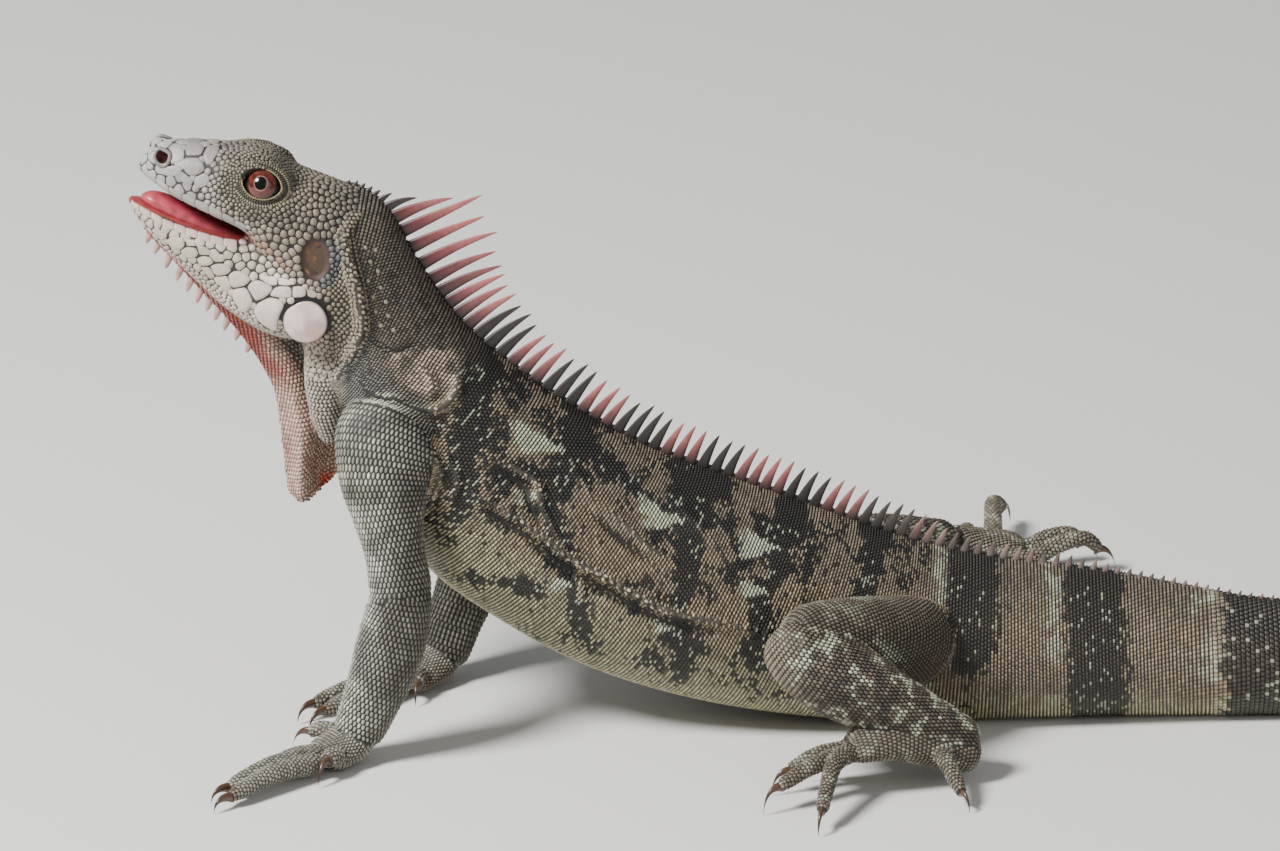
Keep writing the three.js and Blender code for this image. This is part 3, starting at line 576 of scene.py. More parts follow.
folds = [  # height and width of a fold of skin, then its course along the side
    (3.6, 2.2, [(-66, 101), (-48, 90), (-31, 76), (-13, 65), (8, 52.5), (26, 47.6), (50, 42)]),
    (-2.4, 2.8, [(-62, 94), (-46, 84), (-32, 70), (-13, 59), (8, 47), (28, 42)]),
    (2.4, 2.0, [(-62, 117), (-50, 112), (-41, 105), (-39.5, 95), (-31, 79)]),
    (-1.8, 2.4, [(-60, 111), (-48, 106), (-44, 98), (-40, 88)]), (1.3, 1.8, [(-25, 68), (-22, 57)]),
    (2.2, 2.1, [(-17, 99), (-6, 88), (3, 79), (13, 72)]), (1.3, 2.2, [(12, 99), (24, 86), (40, 69)]),
    (-1.6, 2.4, [(-20, 93), (-8, 82), (4, 72)]), (1.2, 2.0, [(-33, 120), (-22, 104), (-16, 92)]),
    (2.0, 1.8, [(-87, 124), (-80, 112), (-84, 100), (-88, 92)]),
    (1.8, 1.8, [(-80, 121), (-73, 108), (-76, 96)]),
    (2.2, 2.1, [(-114, 154), (-106, 144), (-96, 141)]),
    (2.4, 2.2, [(-98, 143), (-86, 137), (-75, 142), (-71, 158)]),
    (1.9, 2.0, [(-90, 160), (-83, 150), (-84, 142)]), (-1.2, 2.0, [(-108, 168), (-98, 162), (-88, 166)]),
    (1.9, 1.7, [(-111, 222), (-116, 213), (-114, 200), (-111, 186), (-110, 172), (-114, 160)]),
    (1.1, 2.0, [(62, 60), (66, 44), (64, 30)])]


def foldLift(p):
    # sum of height * exp(-(distance to the fold / width)^2), fading along each fold to its ends
    x, z = flatTo(p)
    lift = np.zeros(len(p))
    for height, width, course in folds:
        line = sideLine(course, 40)
        near = np.flatnonzero((abs(x - line[:, 0].mean()) < np.ptp(line[:, 0]) + 12)
                              & (abs(z - line[:, 1].mean()) < np.ptp(line[:, 1]) + 12))
        far = hypot(x[near, None] - line[None, :, 0], z[near, None] - line[None, :, 1])
        closest = far.argmin(axis=1)
        taper = sin(linspace(0.25, pi - 0.25, 40))[closest] ** 0.7
        lift[near] += height * taper * exp(-(far.min(axis=1) / width) ** 2)
    return lift


mesh = skin.data
skinPoints = pointsOf(mesh)
normals = verticesOf(mesh, "normal")
onTrunk = (abs(normals[:, 1]) > 0.3) & (skinPoints[:, 0] > -122) & (skinPoints[:, 0] < 100)
lift = foldLift(skinPoints) * onTrunk * ease(abs(normals[:, 1]), 0.3, 0.6)
skinPoints = sculpt(skinPoints + normals * lift[:, None])
setPoints(mesh, skinPoints)
mesh.update()
coarse = skin.vertex_groups.new(name="coarse")  # where the skin may be thinned out
amount = ease(hypot(skinPoints[:, 0] + 165, (skinPoints[:, 2] - 205) * 0.8), 45, 75)
for level in range(1, 9):
    chosen = np.nonzero(np.round(amount * 8) == level)[0]
    coarse.add(chosen.tolist(), level / 8, "REPLACE")
modified(skin, "DECIMATE", ratio=coat["keep"], vertex_group="coarse", use_collapse_triangulate=True)
settled(skin)
skin.vertex_groups.clear()
skin.data.polygons.foreach_set("use_smooth", np.ones(len(skin.data.polygons), bool))
print("skin triangles", len(skin.data.polygons))


def onSkin(pointsMm):
    # the skin's nearest place to each point and the direction out of it there
    count = len(pointsMm)
    mesh = bpy.data.meshes.new("probe")
    mesh.vertices.add(count)
    setPoints(mesh, pointsMm)
    probe = placed("probe", mesh)
    wrap = modified(probe, "SHRINKWRAP", target=skin, wrap_mode="ABOVE_SURFACE")
    found = []
    for lift in (0.0, 0.001):
        wrap.offset = lift
        bpy.context.view_layer.update()
        shown = probe.evaluated_get(bpy.context.evaluated_depsgraph_get()).to_mesh()
        found.append(pointsOf(shown))
    drop(probe)
    return found[0], unit(found[1] - found[0])


# one formula gives scales and skin their colour, by place on the body
bodySamples = smoothRows(bodyRings, linspace(0, len(bodyRings) - 1, 231))
bodySampleT = linspace(0, len(bodyRings) - 1, 231)


def inChunks(work, points, size=20000):
    parts = [work(points[i:i + size]) for i in range(0, len(points), size)]
    return [concatenate(column) for column in zip(*parts)]


def bodyStation(points):
    # ring position t whose plane holds the point, and the height in that ring from -1 to 1
    normal = unit(cross(bodySamples[:, 6:9], bodySamples[:, 3:6]))
    offset = np.sum(bodySamples[:, :3] * normal, axis=1)

    def work(p):
        far = p @ normal.T - offset
        near = ((p[:, None, :] - bodySamples[None, :, :3]) ** 2).sum(axis=2)
        crossing = (far[:, :-1] * far[:, 1:] <= 0)
        cost = where(crossing, near[:, :-1], 1e9)
        i = where(crossing.any(axis=1), cost.argmin(axis=1), np.minimum(near.argmin(axis=1), 229))
        a, b = far[arange(len(p)), i], far[arange(len(p)), i + 1]
        f = clip(where(a != b, a / where(a == b, 1, a - b), 0), 0, 1)
        t = bodySampleT[i] + f * (bodySampleT[1] - bodySampleT[0])
        ring = bodySamples[i]
        high = np.sum((p - ring[:, :3]) * ring[:, 3:6], axis=1) / np.sum(ring[:, 3:6] ** 2, axis=1)
        return t, high
    return inChunks(work, points)


bodyPart, headPart, armPart, legPart, footPart, dewlapPart = range(6)


def boneSamples():
    # middles and mean radii of every loft, with the number of the part of the body they belong to
    rows = []
    for part, rings in ([(bodyPart, bodyRings), (headPart, headRings), (headPart, jawRings)]
                        + [(armPart if "arm" in name else legPart, limb[key]) for name, limb in limbs.items()
                           for key in ("upperRings", "lowerRings")]
                        + [(footPart, limb["palmRings"]) for limb in limbs.values()]
                        + [(footPart, rings) for limb in limbs.values() for rings in limb["digitRings"]]):
        r = smoothRows(rings, linspace(0, len(rings) - 1, 5 * len(rings)))
        radius = (norm(r[:, 3:6], axis=1) + norm(r[:, 6:9], axis=1)) / 2
        rows.append(column_stack([r[:, :3], radius, np.full(len(r), part)]))
    return concatenate(rows)


bones = boneSamples()


def partOf(points):
    # the part whose loft is nearest, measured in its own radii; hands count as feet
    def work(p):
        far = norm(p[:, None, :] - bones[None, :, :3], axis=2) / bones[None, :, 3]
        return (bones[far.argmin(axis=1), 4].astype(int),)
    part = inChunks(work, points)[0]
    d = smoothRows(dewlapRings(), linspace(0, 9, 60))
    alongEdge, alongRoot = d[:, [0, 2]] + d[:, [3, 5]], d[:, [0, 2]] - d[:, [3, 5]]
    z = points[:, 2]
    front = interp(z, alongEdge[::-1, 1], alongEdge[::-1, 0])
    back = interp(z, alongRoot[::-1, 1], alongRoot[::-1, 0])
    flap = ((points[:, 0] > front - 2) & (points[:, 0] < back - 1) & (abs(points[:, 1]) < 11)
            & (z < 208) & (z > 84))
    width = interp(points[:, 0], [-205, -140, -120], [6, 9, 12])
    sideZ = flatTo(points)[1]
    nearNeck = (part <= headPart) & (sideZ > 150)
    part = where(nearNeck, where(points[:, 0] < foldAt(sideZ), headPart, bodyPart), part)
    return where(flap & (abs(points[:, 1]) < width), dewlapPart, part)


tones = {name: paint(*rgb) for name, rgb in {
    "flap": (186, 177, 162), "flank": (144, 128, 103), "back": (100, 90, 78), "dark": (27, 26, 25),
    "mint": (200, 206, 178), "belly": (174, 169, 134), "thigh": (100, 90, 74), "slate": (110, 101, 88),
    "slateLow": (124, 122, 114), "tan": (196, 174, 150), "tubercle": (132, 126, 106),
    "ridge": (142, 128, 108), "tailPale": (150, 135, 112), "armPale": (178, 178, 162), "armDarkAndRearShade": (76, 69, 58),
    "legBrown": (112, 100, 84), "footBrown": (118, 108, 92), "snout": (154, 147, 143),
    "noseWhite": (176, 171, 168), "crown": (124, 116, 106), "cheek": (148, 135, 118), "lid": (122, 116, 92),
    "headDarkAndBrowShade": (58, 54, 47), "temple": (130, 118, 102), "nape": (100, 93, 82), "lipTop": (160, 153, 147),
    "lipLow": (190, 166, 156), "jaw": (178, 169, 151), "white": (207, 193, 180), "olive": (114, 104, 84),
    "blueGrey": (74, 82, 88), "dewlapPale": (206, 172, 154), "dewlapRed": (156, 66, 58),
    "throat": (140, 112, 92), "mouth": (138, 56, 56), "fold": (208, 192, 160), "pinkFold": (160, 126, 110),
    "patchRed": (196, 72, 44)}.items()}
bands = {"at": [11.5, 12.95, 14.95, *arange(16, 22.1, 0.75)], "half": [0.36, 0.34, 0.5] + [0.2] * 9}
bandLines = [  # dark bands of the flank: height on the side, place along and half width, from the belly up
    [(98, -72, 5), (124, -68, 6.5), (150, -66, 8), (174, -64, 8)],
    [(48, -25, 3.6), (72, -31, 4), (96, -38, 4.6), (116, -27, 6), (145, -24, 5.5)],
    [(30, 17, 3.6), (55, 15, 4), (76, 21, 5.4), (92, 21, 6.4), (120, 28, 6)],
    [(36, 45, 3.4), (56, 48, 4), (68, 55, 5), (82, 58, 6), (106, 62, 5.5)],
    [(55, 90, 3), (70, 92, 6), (94, 96, 6)]]
# pale wedges: tip along and up, length, height and rise
wedges = [(-31, 120, 24, 20, 6), (17, 89, 20, 18, 6), (56, 78, 20, 16, 5), (51, 59, 12, 10, 2),
          (-40, 99, 12, 9, 3), (-26, 60, 12, 8, 2), (14, 45, 12, 8, 1)]
lipLine = array([(-200, 238), (-190, 229.5), (-180, 224), (-170, 219.5), (-160, 213.5), (-154, 210.5),
                 (-146, 206), (-135, 200)], float)
jawLine = array([(-206, 230), (-195.5, 223.4), (-189.5, 219.5), (-182, 216.3), (-174, 213.4),
                 (-166, 210.9), (-155, 209.9), (-148, 207)], float)


def toneOf(tone):  # a named tone, or a screen colour
    return tones[tone] if isinstance(tone, str) else paint(*tone)


def plain(tone, count):
    return np.tile(toneOf(tone), (count, 1))


def lay(c, tone, amount):  # blends colours in place towards a tone by amounts 0-1
    c += (toneOf(tone) - c) * clip(amount, 0, 1)[:, None]


def flankBands(x, z):
    # for each band exp(-(distance to its middle / half width)^2), fading past its ends; the strongest counts
    best = np.zeros(len(x))
    for line in bandLines:
        up, along, half = array(line, float).T
        far = (x - interp(z, up, along)) / interp(z, up, half)
        best = maximum(best, exp(-far**2) * fade(z, up[-1], up[-1] + 9) * ease(z, up[0] - 12, up[0]))
    return best


def flankWedges(x, z):
    # triangles that open forwards from their tips
    best = np.zeros(len(x))
    for tipX, tipZ, length, height, rise in wedges:
        u = (tipX - x) / length
        off = abs(z - tipZ - rise * u) / (height / 2 * u + 1)
        best = maximum(best, (u > -0.03) * fade(u, 0.45, 1.1) * fade(off, 0.7, 1.05))
    return best


def bodyMarks(p, pick):
    t, h = bodyStation(p)
    x, z = flatTo(p)
    patch, fine = cloud(p, 9, 1), cloud(p, 4.5, 2)
    mixed = 0.5 * pick + 0.5 * cloud(p * [2.2, 0.6, 0.6], 3, 12)  # short runs of scales share a tone
    trunk = t < 10.9
    c = plain("flank", len(p))
    lay(c, "tailPale", ease(t, 11, 14))
    lay(c, "back", ease(h, 0.3, 0.9) * 0.6 + 0.4 * ease(patch, 0.5, 0.7) * (t < 12))
    underFold = interp(x, [-66, -48, -31, -13, 8, 26, 50], [101, 90, 76, 65, 52.5, 47.6, 42]) - z
    lay(c, "belly", ease(underFold + 14 * (fine - 0.5) + 8 * (patch - 0.5), 0, 22) * trunk * 0.7)
    lay(c, "belly", ease(-h + 0.5 * (fine - 0.5), 0.3, 0.8) * 0.9)
    c = c * where(trunk, 0.5 + 1.0 * mixed, 0.8 + 0.4 * pick)[:, None]
    # a scale is dark where the strength of its band beats its own pick
    far = (t[:, None] - array(bands["at"])) / array(bands["half"])
    ring = exp(-far**2 / 1.3).max(axis=1)
    onFlank = flankBands(x, z) + 1.0 * (patch - 0.5) + 0.55 * (fine - 0.5) + 0.26 + 0.18 * ease(h, 0.2, 0.8)
    onFlank = onFlank * (1 - 0.55 * ease(-h, 0.55, 0.9)) - mixed
    ring *= 1 - 0.55 * (t < 12.2) * ease(0.2 - h, 0, 0.5)
    onTail = ring * 1.05 + 0.1 * (fine - 0.5) + 0.14 * (patch - 0.5) - 0.22 - 0.5 * mixed
    dark = where(trunk, ease(onFlank, -0.06, 0.08), ease(onTail, 0, 0.1))
    lay(c, "dark", dark * where(trunk, 0.93, 0.86))
    edge = exp(-((far + 1.35 + 0.5 * (fine[:, None] - 0.5)) / 0.36) ** 2).max(axis=1)
    edge *= (0.3 + 0.7 * fine) * ease(h, -0.95, -0.5) * ease(patch, 0.25, 0.6)
    pale = where(trunk, flankWedges(x + 4 * (fine - 0.5), z + 5 * (patch - 0.5)) * (0.6 + 0.6 * fine), edge)
    lay(c, "mint", ease(pale - 0.75 * mixed, 0, 0.15) * where(trunk, 0.85, 0.55))
    lay(c, "mint", (pick > where(trunk, 0.8, 0.87)) * (fine > 0.4) * (dark > 0.4) * (h < 0.85) * 0.5)
    neck = 1 - ease(t + 0.5 * (patch - 0.5), 3.9, 4.6)
    lay(c, "slate", neck * 0.95)
    lay(c, "slateLow", neck * ease(-h, -0.1, 0.35))
    lay(c, "dark", neck * ease(mixed, 0.52, 0.75) * 0.55)
    beaded = exp(-((x - foldAt(z) - 1.2) / 1.5) ** 2) * (z > 158) * (z < 216)
    lay(c, "tan", beaded * 0.6)
    spot = hypot((p[:, 0] + 86) / 13, (p[:, 2] - 155) / 10) + 1.1 * (fine - 0.5) + 0.7 * (patch - 0.5)
    lay(c, "tan", fade(spot, 0.5, 0.95) * (0.5 + 0.5 * (mixed > 0.4)) * (abs(p[:, 1]) > 12))
    # the ridges of the folds are lightened, partly a cream marking and partly a painted highlight, and their
    # valleys are darkened as painted shade
    onFold = foldLift(p) * (t > 3.5) * (t < 12)
    lay(c, "fold", ease(onFold, 0.8, 2.4) * (0.45 + 0.4 * pick))
    return c * (1 - 0.6 * ease(-onFold, 0.3, 1.5))[:, None]


def farFrom(p, a, b):  # distance to the line from a to b
    a, b = array(a, float), array(b, float)
    f = clip((p - a) @ (b - a) / ((b - a) @ (b - a)), 0, 1)
    return norm(p - a - f[:, None] * (b - a), axis=1)


def limbMarks(p, part, pick):
    patch, fine = cloud(p, 7, 4), cloud(p, 3.2, 5)
    arm, leg, foot = (part == which for which in (armPart, legPart, footPart))
    c = where(arm[:, None], tones["armPale"], tones["legBrown"])
    lay(c, "armDarkAndRearShade", arm * ease(patch + 0.5 * (pick - 0.5) + 0.2 * (fine - 0.5), 0.35, 0.75) * 0.75)
    # painted shade: the rear of the arms, away from the key light, is darkened
    lay(c, "armDarkAndRearShade", arm * ease(p[:, 0] + 0.25 * abs(p[:, 1]), -96, -78) * 0.75)
    c = c * where(arm, 0.6 + 0.8 * pick, 0.78 + 0.44 * pick)[:, None]
    blotch = 0.6 * fine + 0.4 * patch
    lay(c, "mint", leg * ease(blotch + 0.22 * (pick - 0.5), 0.54, 0.6) * 0.75)
    lay(c, "dark", leg * ease(0.5 - blotch + 0.3 * (pick - 0.5), 0.06, 0.12) * 0.6)
    lay(c, "fold", leg * (p[:, 1] < 0) * fade(p[:, 0] + 6 * (patch - 0.5), 54, 68) * 0.3)
    # the near thigh's rear is laid in a darker brown, partly its own colour and partly painted shade
    thigh = ease(farFrom(p, (60, -74, 55), (132, -70, 11)) - farFrom(p, (114, -18, 38), (64, -70, 57)), -3, 4)
    lay(c, "thigh", leg * (p[:, 1] < 0) * thigh * (0.7 + 0.25 * ease(p[:, 0], 85, 105)))
    lay(c, "footBrown", foot * 0.95)
    lay(c, "armPale", foot * (p[:, 0] < -60) * ease(patch, 0.2, 0.6) * 0.5)
    lay(c, "mint", foot * (p[:, 0] > -60) * ease(fine, 0.62, 0.7) * 0.35)
    lay(c, "dark", foot * ease(pick, 0.75, 0.95) * 0.3)
    return c


def headMarks(p, pick):
    x, z = flatTo(p)
    patch, fine = cloud(p, 6, 6), cloud(p, 2.6, 7)
    c = plain("cheek", len(p))
    lay(c, "temple", ease(x, -152, -140) * ease(z, 203, 208))
    lay(c, "nape", ease(x, -130, -116) * ease(z, 196, 206))
    lay(c, "crown", ease(z, 242, 246) * ease(x, -172, -162))
    lay(c, "snout", 1 - ease(x + 2 * (patch - 0.5), -174, -162))
    lay(c, "noseWhite", fade(x, -182, -179) * ease(z, 236, 239) * 0.9)
    eye = hypot((x + 151.5) / 1.15, z - 233)
    lay(c, "lid", fade(eye, 11, 17) * 0.8)
    # painted shade under the overhanging brow, above and behind the eye
    lay(c, "headDarkAndBrowShade", fade(eye, 13, 20) * ease(x, -150, -142) * ease(z, 229, 235) * 0.75)
    lay(c, "headDarkAndBrowShade", ease(patch + 0.5 * (pick - 0.5), 0.58, 0.8) * 0.5 * (x > -168) * (z > 205))
    lay(c, "headDarkAndBrowShade", fade(abs(z - 219.5), 1.5, 2.5) * (x > -158) * (x < -136) * 0.5)
    lip, jaw = interp(x, *lipLine.T), interp(x, *jawLine.T)
    under = z < where(x < -157, (lip + jaw) / 2, lip - 4)
    lay(c, "lipTop", (x < -155) * ~under * fade(z - lip, 3.8, 5))
    c = where((under & (x < -140))[:, None], tones["jaw"], c)
    lay(c, "jaw", ease(-x, 132, 146) * fade(z, 196, 202) * 0.8)
    lay(c, "lipLow", (x < -154) * under * fade(jaw - z, 3.4, 4.6))
    lay(c, "white", fade(hypot((x + 150) / 22, (z - 184) / 12), 0.75, 1.05))
    lay(c, "olive", ease(x + 4 * (fine - 0.5), -127, -123) * fade(z, 186, 196))
    lay(c, "olive", fade(z - (168 - 0.8 * (x + 150)), 0, 3) * ease(x, -178, -165) * 0.9)
    lay(c, "throat", fade(z - (165 - 0.85 * (x + 150)), -3, 3) * 0.8)
    about = hypot((x + 126.5) / 8.0, (z - 200) / 11.5)
    lay(c, "blueGrey", fade(about, 0.85, 1.15) * ease(x - 0.25 * (z - 200), -128, -122) * 0.8)
    lay(c, "pinkFold", fade(abs(z - (211 - 0.86 * (x + 155))), 1.1, 1.9) * (x > -156) * (x < -139))
    return c * (0.8 + 0.3 * patch[:, None] + 0.16 * (pick[:, None] - 0.5))


def dewlapMarks(p, pick):
    patch = cloud(p, 8, 8)
    x, z = p[:, 0], p[:, 2]
    edge = array(dewlapShape["edge"][::-1])
    front = interp(z, edge[:, 1], edge[:, 0])
    c = plain("dewlapPale", len(p))
    lay(c, "dewlapRed", ease(z, 136, 150) * fade(x - front, 6, 13) * (0.6 + 0.4 * patch))
    lay(c, "dewlapRed", ease(patch, 0.55, 0.8) * 0.35)
    lay(c, "patchRed", ease(x - front, 11, 15) * fade(z, 99, 105) * 0.95)
    lay(c, "slateLow", ease(x - front, 12, 18) * ease(z, 112, 120) * 0.85)
    lay(c, "dark", ease(pick, 0.75, 0.95) * 0.3)
    return c


def insideMouth(p, grow=0.9):
    # rings are upright here, so the ring is found by the point's own x, then its ellipse is tested
    t = linspace(0, len(mouthRings) - 1, 80)
    r = smoothRows(mouthRings, t)
    ring = stack([interp(p[:, 0], r[:, 0], r[:, k]) for k in range(11)], axis=1)
    high, wide = abs(ring[:, 5]) + grow, abs(ring[:, 7]) + grow
    inside = (abs(p[:, 2] - ring[:, 2]) / high) ** 2.4 + (abs(p[:, 1]) / wide) ** 2.4 < 1
    return inside & (p[:, 0] < mouthRings[-1, 0] + 1.5 + 0.8 * (grow > 2) * grow)


def markings(points, pick=None):
    # pick is each scale's own chance 0-1 of falling to the darker colour; on the skin it is noise
    pick = cloud(points, 2.0, 61) if pick is None else pick
    part = partOf(points)
    c = np.zeros((len(points), 3))
    for which, work in ((bodyPart, bodyMarks), (headPart, headMarks), (dewlapPart, dewlapMarks)):
        chosen = part == which
        if chosen.any():
            c[chosen] = work(points[chosen], pick[chosen])
    chosen = np.isin(part, (armPart, legPart, footPart))
    if chosen.any():
        c[chosen] = limbMarks(points[chosen], part[chosen], pick[chosen])
    x, deep, z = points[:, 0], abs(points[:, 1]), points[:, 2]
    hanging = (part <= headPart) * ease(deep, 4, 7) * fade(x, -120, -116)
    lay(c, "flap", hanging * fade(z, 148, 160) * ease(z, 104, 112) * 0.9)
    return c


def ringFaces(rings, count):
    # quads between the rings of a scale, and the fan of triangles that closes its underside
    quads = [(k * count + i, k * count + (i + 1) % count, (k + 1) * count + (i + 1) % count,
              (k + 1) * count + i)
             for k in range(rings - 1) for i in range(count)]
    return quads, [(0, i + 1, i) for i in range(1, count - 1)]


def domeFaces(rings, count):  # the same, with a fan up to one middle point
    quads, under = ringFaces(rings, count)
    last = (rings - 1) * count
    top = [(last + i, last + (i + 1) % count, rings * count) for i in range(count)]
    return {"quads": array(quads), "triangles": array(top + under)}


def scaleShape(base, shoulder, ridge):
    # a closed scale: a sunk rim, an optional raised shoulder, and a keel of two points on top
    rim, ridge = array(base, float), array(ridge, float)
    n = len(rim)
    rings = [column_stack([rim, np.full(n, -0.6)])]
    if shoulder:
        rings.append(column_stack([rim * shoulder[0], np.full(n, shoulder[1])]))
    points = concatenate(rings + [ridge])
    quads, under = ringFaces(len(rings), n)
    top = (len(rings) - 1) * n
    near = len(points) - 2 + norm(rim[:, None] - ridge[None, :, :2], axis=2).argmin(axis=1)
    triangles = []
    for a in range(n):
        b = (a + 1) % n
        if near[a] == near[b]:
            triangles.append((top + a, top + b, near[a]))
        else:
            quads.append((top + a, top + b, near[b], near[a]))
    # painted shade and painted highlight: the sunk rim and the shoulder are darkened as shade in the gaps
    # between scales, and the keel is lit brighter than the scale's tint
    shade = interp(points[:, 2], [-0.6, 0.2, 0.5, 1.0], [0.15, 0.3, 0.6, 1.25])
    return {"points": points, "shade": shade, "triangles": array(triangles + under), "quads": array(quads)}


def polygon(sides, start=0.0, power=1.0):
    a = start + arange(sides) * turn / sides
    return column_stack([0.5 * np.sign(cos(a)) * abs(cos(a)) ** power,
                         0.5 * np.sign(sin(a)) * abs(sin(a)) ** power])


hexagon = polygon(6, turn / 12)
square = [(0.5, -0.5), (0.5, 0.5), (-0.5, 0.5), (-0.5, -0.5)]
ribScale = scaleShape(square, None, [(0.14, -0.3, 0.95), (0.14, 0.3, 1.0)])
keeledScale = scaleShape(hexagon, (0.86, 0.5), [(-0.18, 0, 0.85), (0.3, 0, 1.0)])
pointedScale = scaleShape(polygon(6), (0.84, 0.5), [(-0.16, 0, 0.85), (0.22, 0, 1.0)])
roundScale = scaleShape(polygon(8), (0.8, 0.62), [(-0.12, 0, 1.0), (0.12, 0, 1.0)])
tailScale = scaleShape(square, (0.88, 0.5), [(-0.2, 0, 0.8), (0.36, 0, 1.0)])


def plant(shape, at, up, lie, long, wide, rise, tilt=0.0):
    # each point is at + along*x*long + across*y*wide + up*(z*rise + x*tilt)
    n = len(at)
    along = unit(lie - up * np.sum(lie * up, axis=1, keepdims=True))
    across = cross(up, along)
    q = shape["points"]
    long, wide, rise, tilt = (np.broadcast_to(v, n)[:, None] for v in (long, wide, rise, tilt))
    x, y = q[None, :, 0] * long, q[None, :, 1] * wide
    z = q[None, :, 2] * rise + q[None, :, 0] * tilt * (q[None, :, 2] > 0)
    return (at[:, None] + along[:, None] * x[..., None] + across[:, None] * y[..., None]
            + up[:, None] * z[..., None])


floorGap, bakePatch = 0.02, 0.0015  # nothing sinks below the gap, in mm; half a scale's patch on the bake map


def makeCoat(name, batches, material):
    # batches of (points n*k*3, shape, tint n*3, root n*2); one joined mesh with its tints and bake map
    points, tints, faces, roots, start = [], [], [], [], 0
    for p, shape, tint, root in batches:
        n, k = p.shape[:2]
        points.append(p.reshape(-1, 3))
        # each scale's tint is multiplied by its shape's painted shade and painted highlight
        tints.append((tint[:, None, :] * shape["shade"][None, :, None]).reshape(-1, 3))
        flatShape = shape["points"][:, :2] / max(abs(shape["points"][:, :2]).max(), 1e-6) * bakePatch
        roots.append((root[:, None] + flatShape[None]).reshape(-1, 2))
        offset = (start + arange(n) * k)[:, None, None]
        faces += [(offset + shape[key][None]).reshape(-1, shape[key].shape[1])
                  for key in ("quads", "triangles")]
        start += n * k
    points = concatenate(points)
    points[:, 2] = maximum(points[:, 2], floorGap)
    piece = makeMesh(name, points, faces)
    coloured(piece, concatenate(tints), material)
    mesh = piece.data
    corner = np.empty(len(mesh.loops), np.int32)
    mesh.loops.foreach_get("vertex_index", corner)
    bake = mesh.uv_layers.new(name="OFBake")
    bake.data.foreach_set("uv", concatenate(roots)[corner].astype(np.float32).ravel())
    mesh.calc_loop_triangles()
    print(name, len(mesh.loop_triangles), "triangles")


def rowsOn(surface, startT, endT, rowGap, sideGap):
    # rows of places round surface(t, angle): rows at even running length on the flanks, places at
    # even length round each row, every second row shifted by half a place
    rowGap, sideGap = (gap if callable(gap) else lambda t, gap=gap: gap + 0.0 * t
                       for gap in (rowGap, sideGap))
    fineT = linspace(startT, endT, 400)
    flank = [surface(fineT, np.full(400, a)) for a in (0.9, 1.6, 2.3, -0.9, -1.6, -2.3)]
    step = np.mean([norm(np.diff(line, axis=0), axis=1) for line in flank], axis=0)
    number = concatenate([[0], np.cumsum(step / rowGap(fineT)[1:])])
    rowT = interp(arange(0, int(number[-1])), number, fineT)
    angle = linspace(0, turn, 121)
    angles, rows = [], []
    for i, t in enumerate(rowT):
        around = running(surface(np.full(121, t), angle))
        count = max(5, int(round(around[-1] / sideGap(t))))
        angles.append(interp((arange(count) + 0.5 * (i % 2)) / count * around[-1], around, angle))
        rows.append(np.full(count, i))
    a, row = concatenate(angles), concatenate(rows)
    t = rowT[row]
    ahead = surface(t + 0.02, a) - surface(t - 0.02, a)
    nearby = surface(t, a + 0.02) - surface(t, a - 0.02)
    return {"t": t, "angle": a, "place": surface(t, a), "lie": unit(ahead), "wide": sideGap(rowT)[row],
            "long": norm(ahead, axis=1) / 0.04 * np.gradient(rowT)[row],
            "out": unit(cross(ahead, nearby))}


def landed(field, reach=1.7, lean=0.25):
    # keeps the places that lie near the skin and face the same way as it does
    at, up = onSkin(field["place"])
    outward = np.sum(field["out"] * up, axis=1)
    sign = np.sign(np.median(outward)) or 1
    keep = (norm(at - field["place"], axis=1) < reach) & (outward * sign > lean)
    return only(dict(field, at=at, up=up), keep)


def only(field, keep):
    return {key: value[keep] for key, value in field.items()}


def apart(points, size, share=0.62):
    # drops each place that lies closer to an earlier kept one than a share of their mean size
    tree = KDTree(len(points))
    for i, p in enumerate(points):
        tree.insert(p, i)
    tree.balance()
    keep = np.ones(len(points), bool)
    reach = share * size.max()
    for i, p in enumerate(points):
        if keep[i]:
            for _, j, d in tree.find_range(p, reach):
                if j > i and d < share * 0.5 * (size[i] + size[j]):
                    keep[j] = False
    return keep


def setSockets(node, values):
    for socket, value in values.items():
        node.inputs[socket].default_value = value
    return node


def tinted(name, rough, grain=0.12, grainSize=900.0, bump=0.12, wetness=0.0, shine=0.5, coatRough=0.06,
           softLight=0.0):
    # the piece's own tint, mottled by fine noise, with a fine bump; wetness is the clear coat
    material = bpy.data.materials.new(name)
    material.use_nodes = True
    nodes, links = material.node_tree.nodes, material.node_tree.links
    shader = setSockets(nodes["Principled BSDF"], {
        "Roughness": rough, "Specular IOR Level": shine, "Coat Weight": wetness, "Coat Roughness": coatRough})
    if softLight:
        setSockets(shader, {"Subsurface Weight": softLight, "Subsurface Radius": (0.004, 0.0015, 0.001),
                            "Subsurface Scale": 0.5})
    own = nodes.new("ShaderNodeAttribute")
    own.attribute_name = "tint"
    place = nodes.new("ShaderNodeTexCoord")
    noise = setSockets(nodes.new("ShaderNodeTexNoise"), {"Scale": grainSize, "Detail": 4})
    spread = setSockets(nodes.new("ShaderNodeMapRange"), {
        "From Min": 0.3, "From Max": 0.7, "To Min": 1 - grain, "To Max": 1 + grain})
    mix = nodes.new("ShaderNodeVectorMath")
    mix.operation = "SCALE"
    relief = setSockets(nodes.new("ShaderNodeBump"), {"Strength": bump, "Distance": 0.0003})
    for source, output, goal, socket in (
            (place, "Object", noise, "Vector"), (noise, "Fac", spread, "Value"), (own, "Color", mix, 0),
            (spread, "Result", mix, "Scale"), (mix, "Vector", shader, "Base Color"),
            (noise, "Fac", relief, "Height"), (relief, "Normal", shader, "Normal")):
        links.new(source.outputs[output], goal.inputs[socket])
    return material


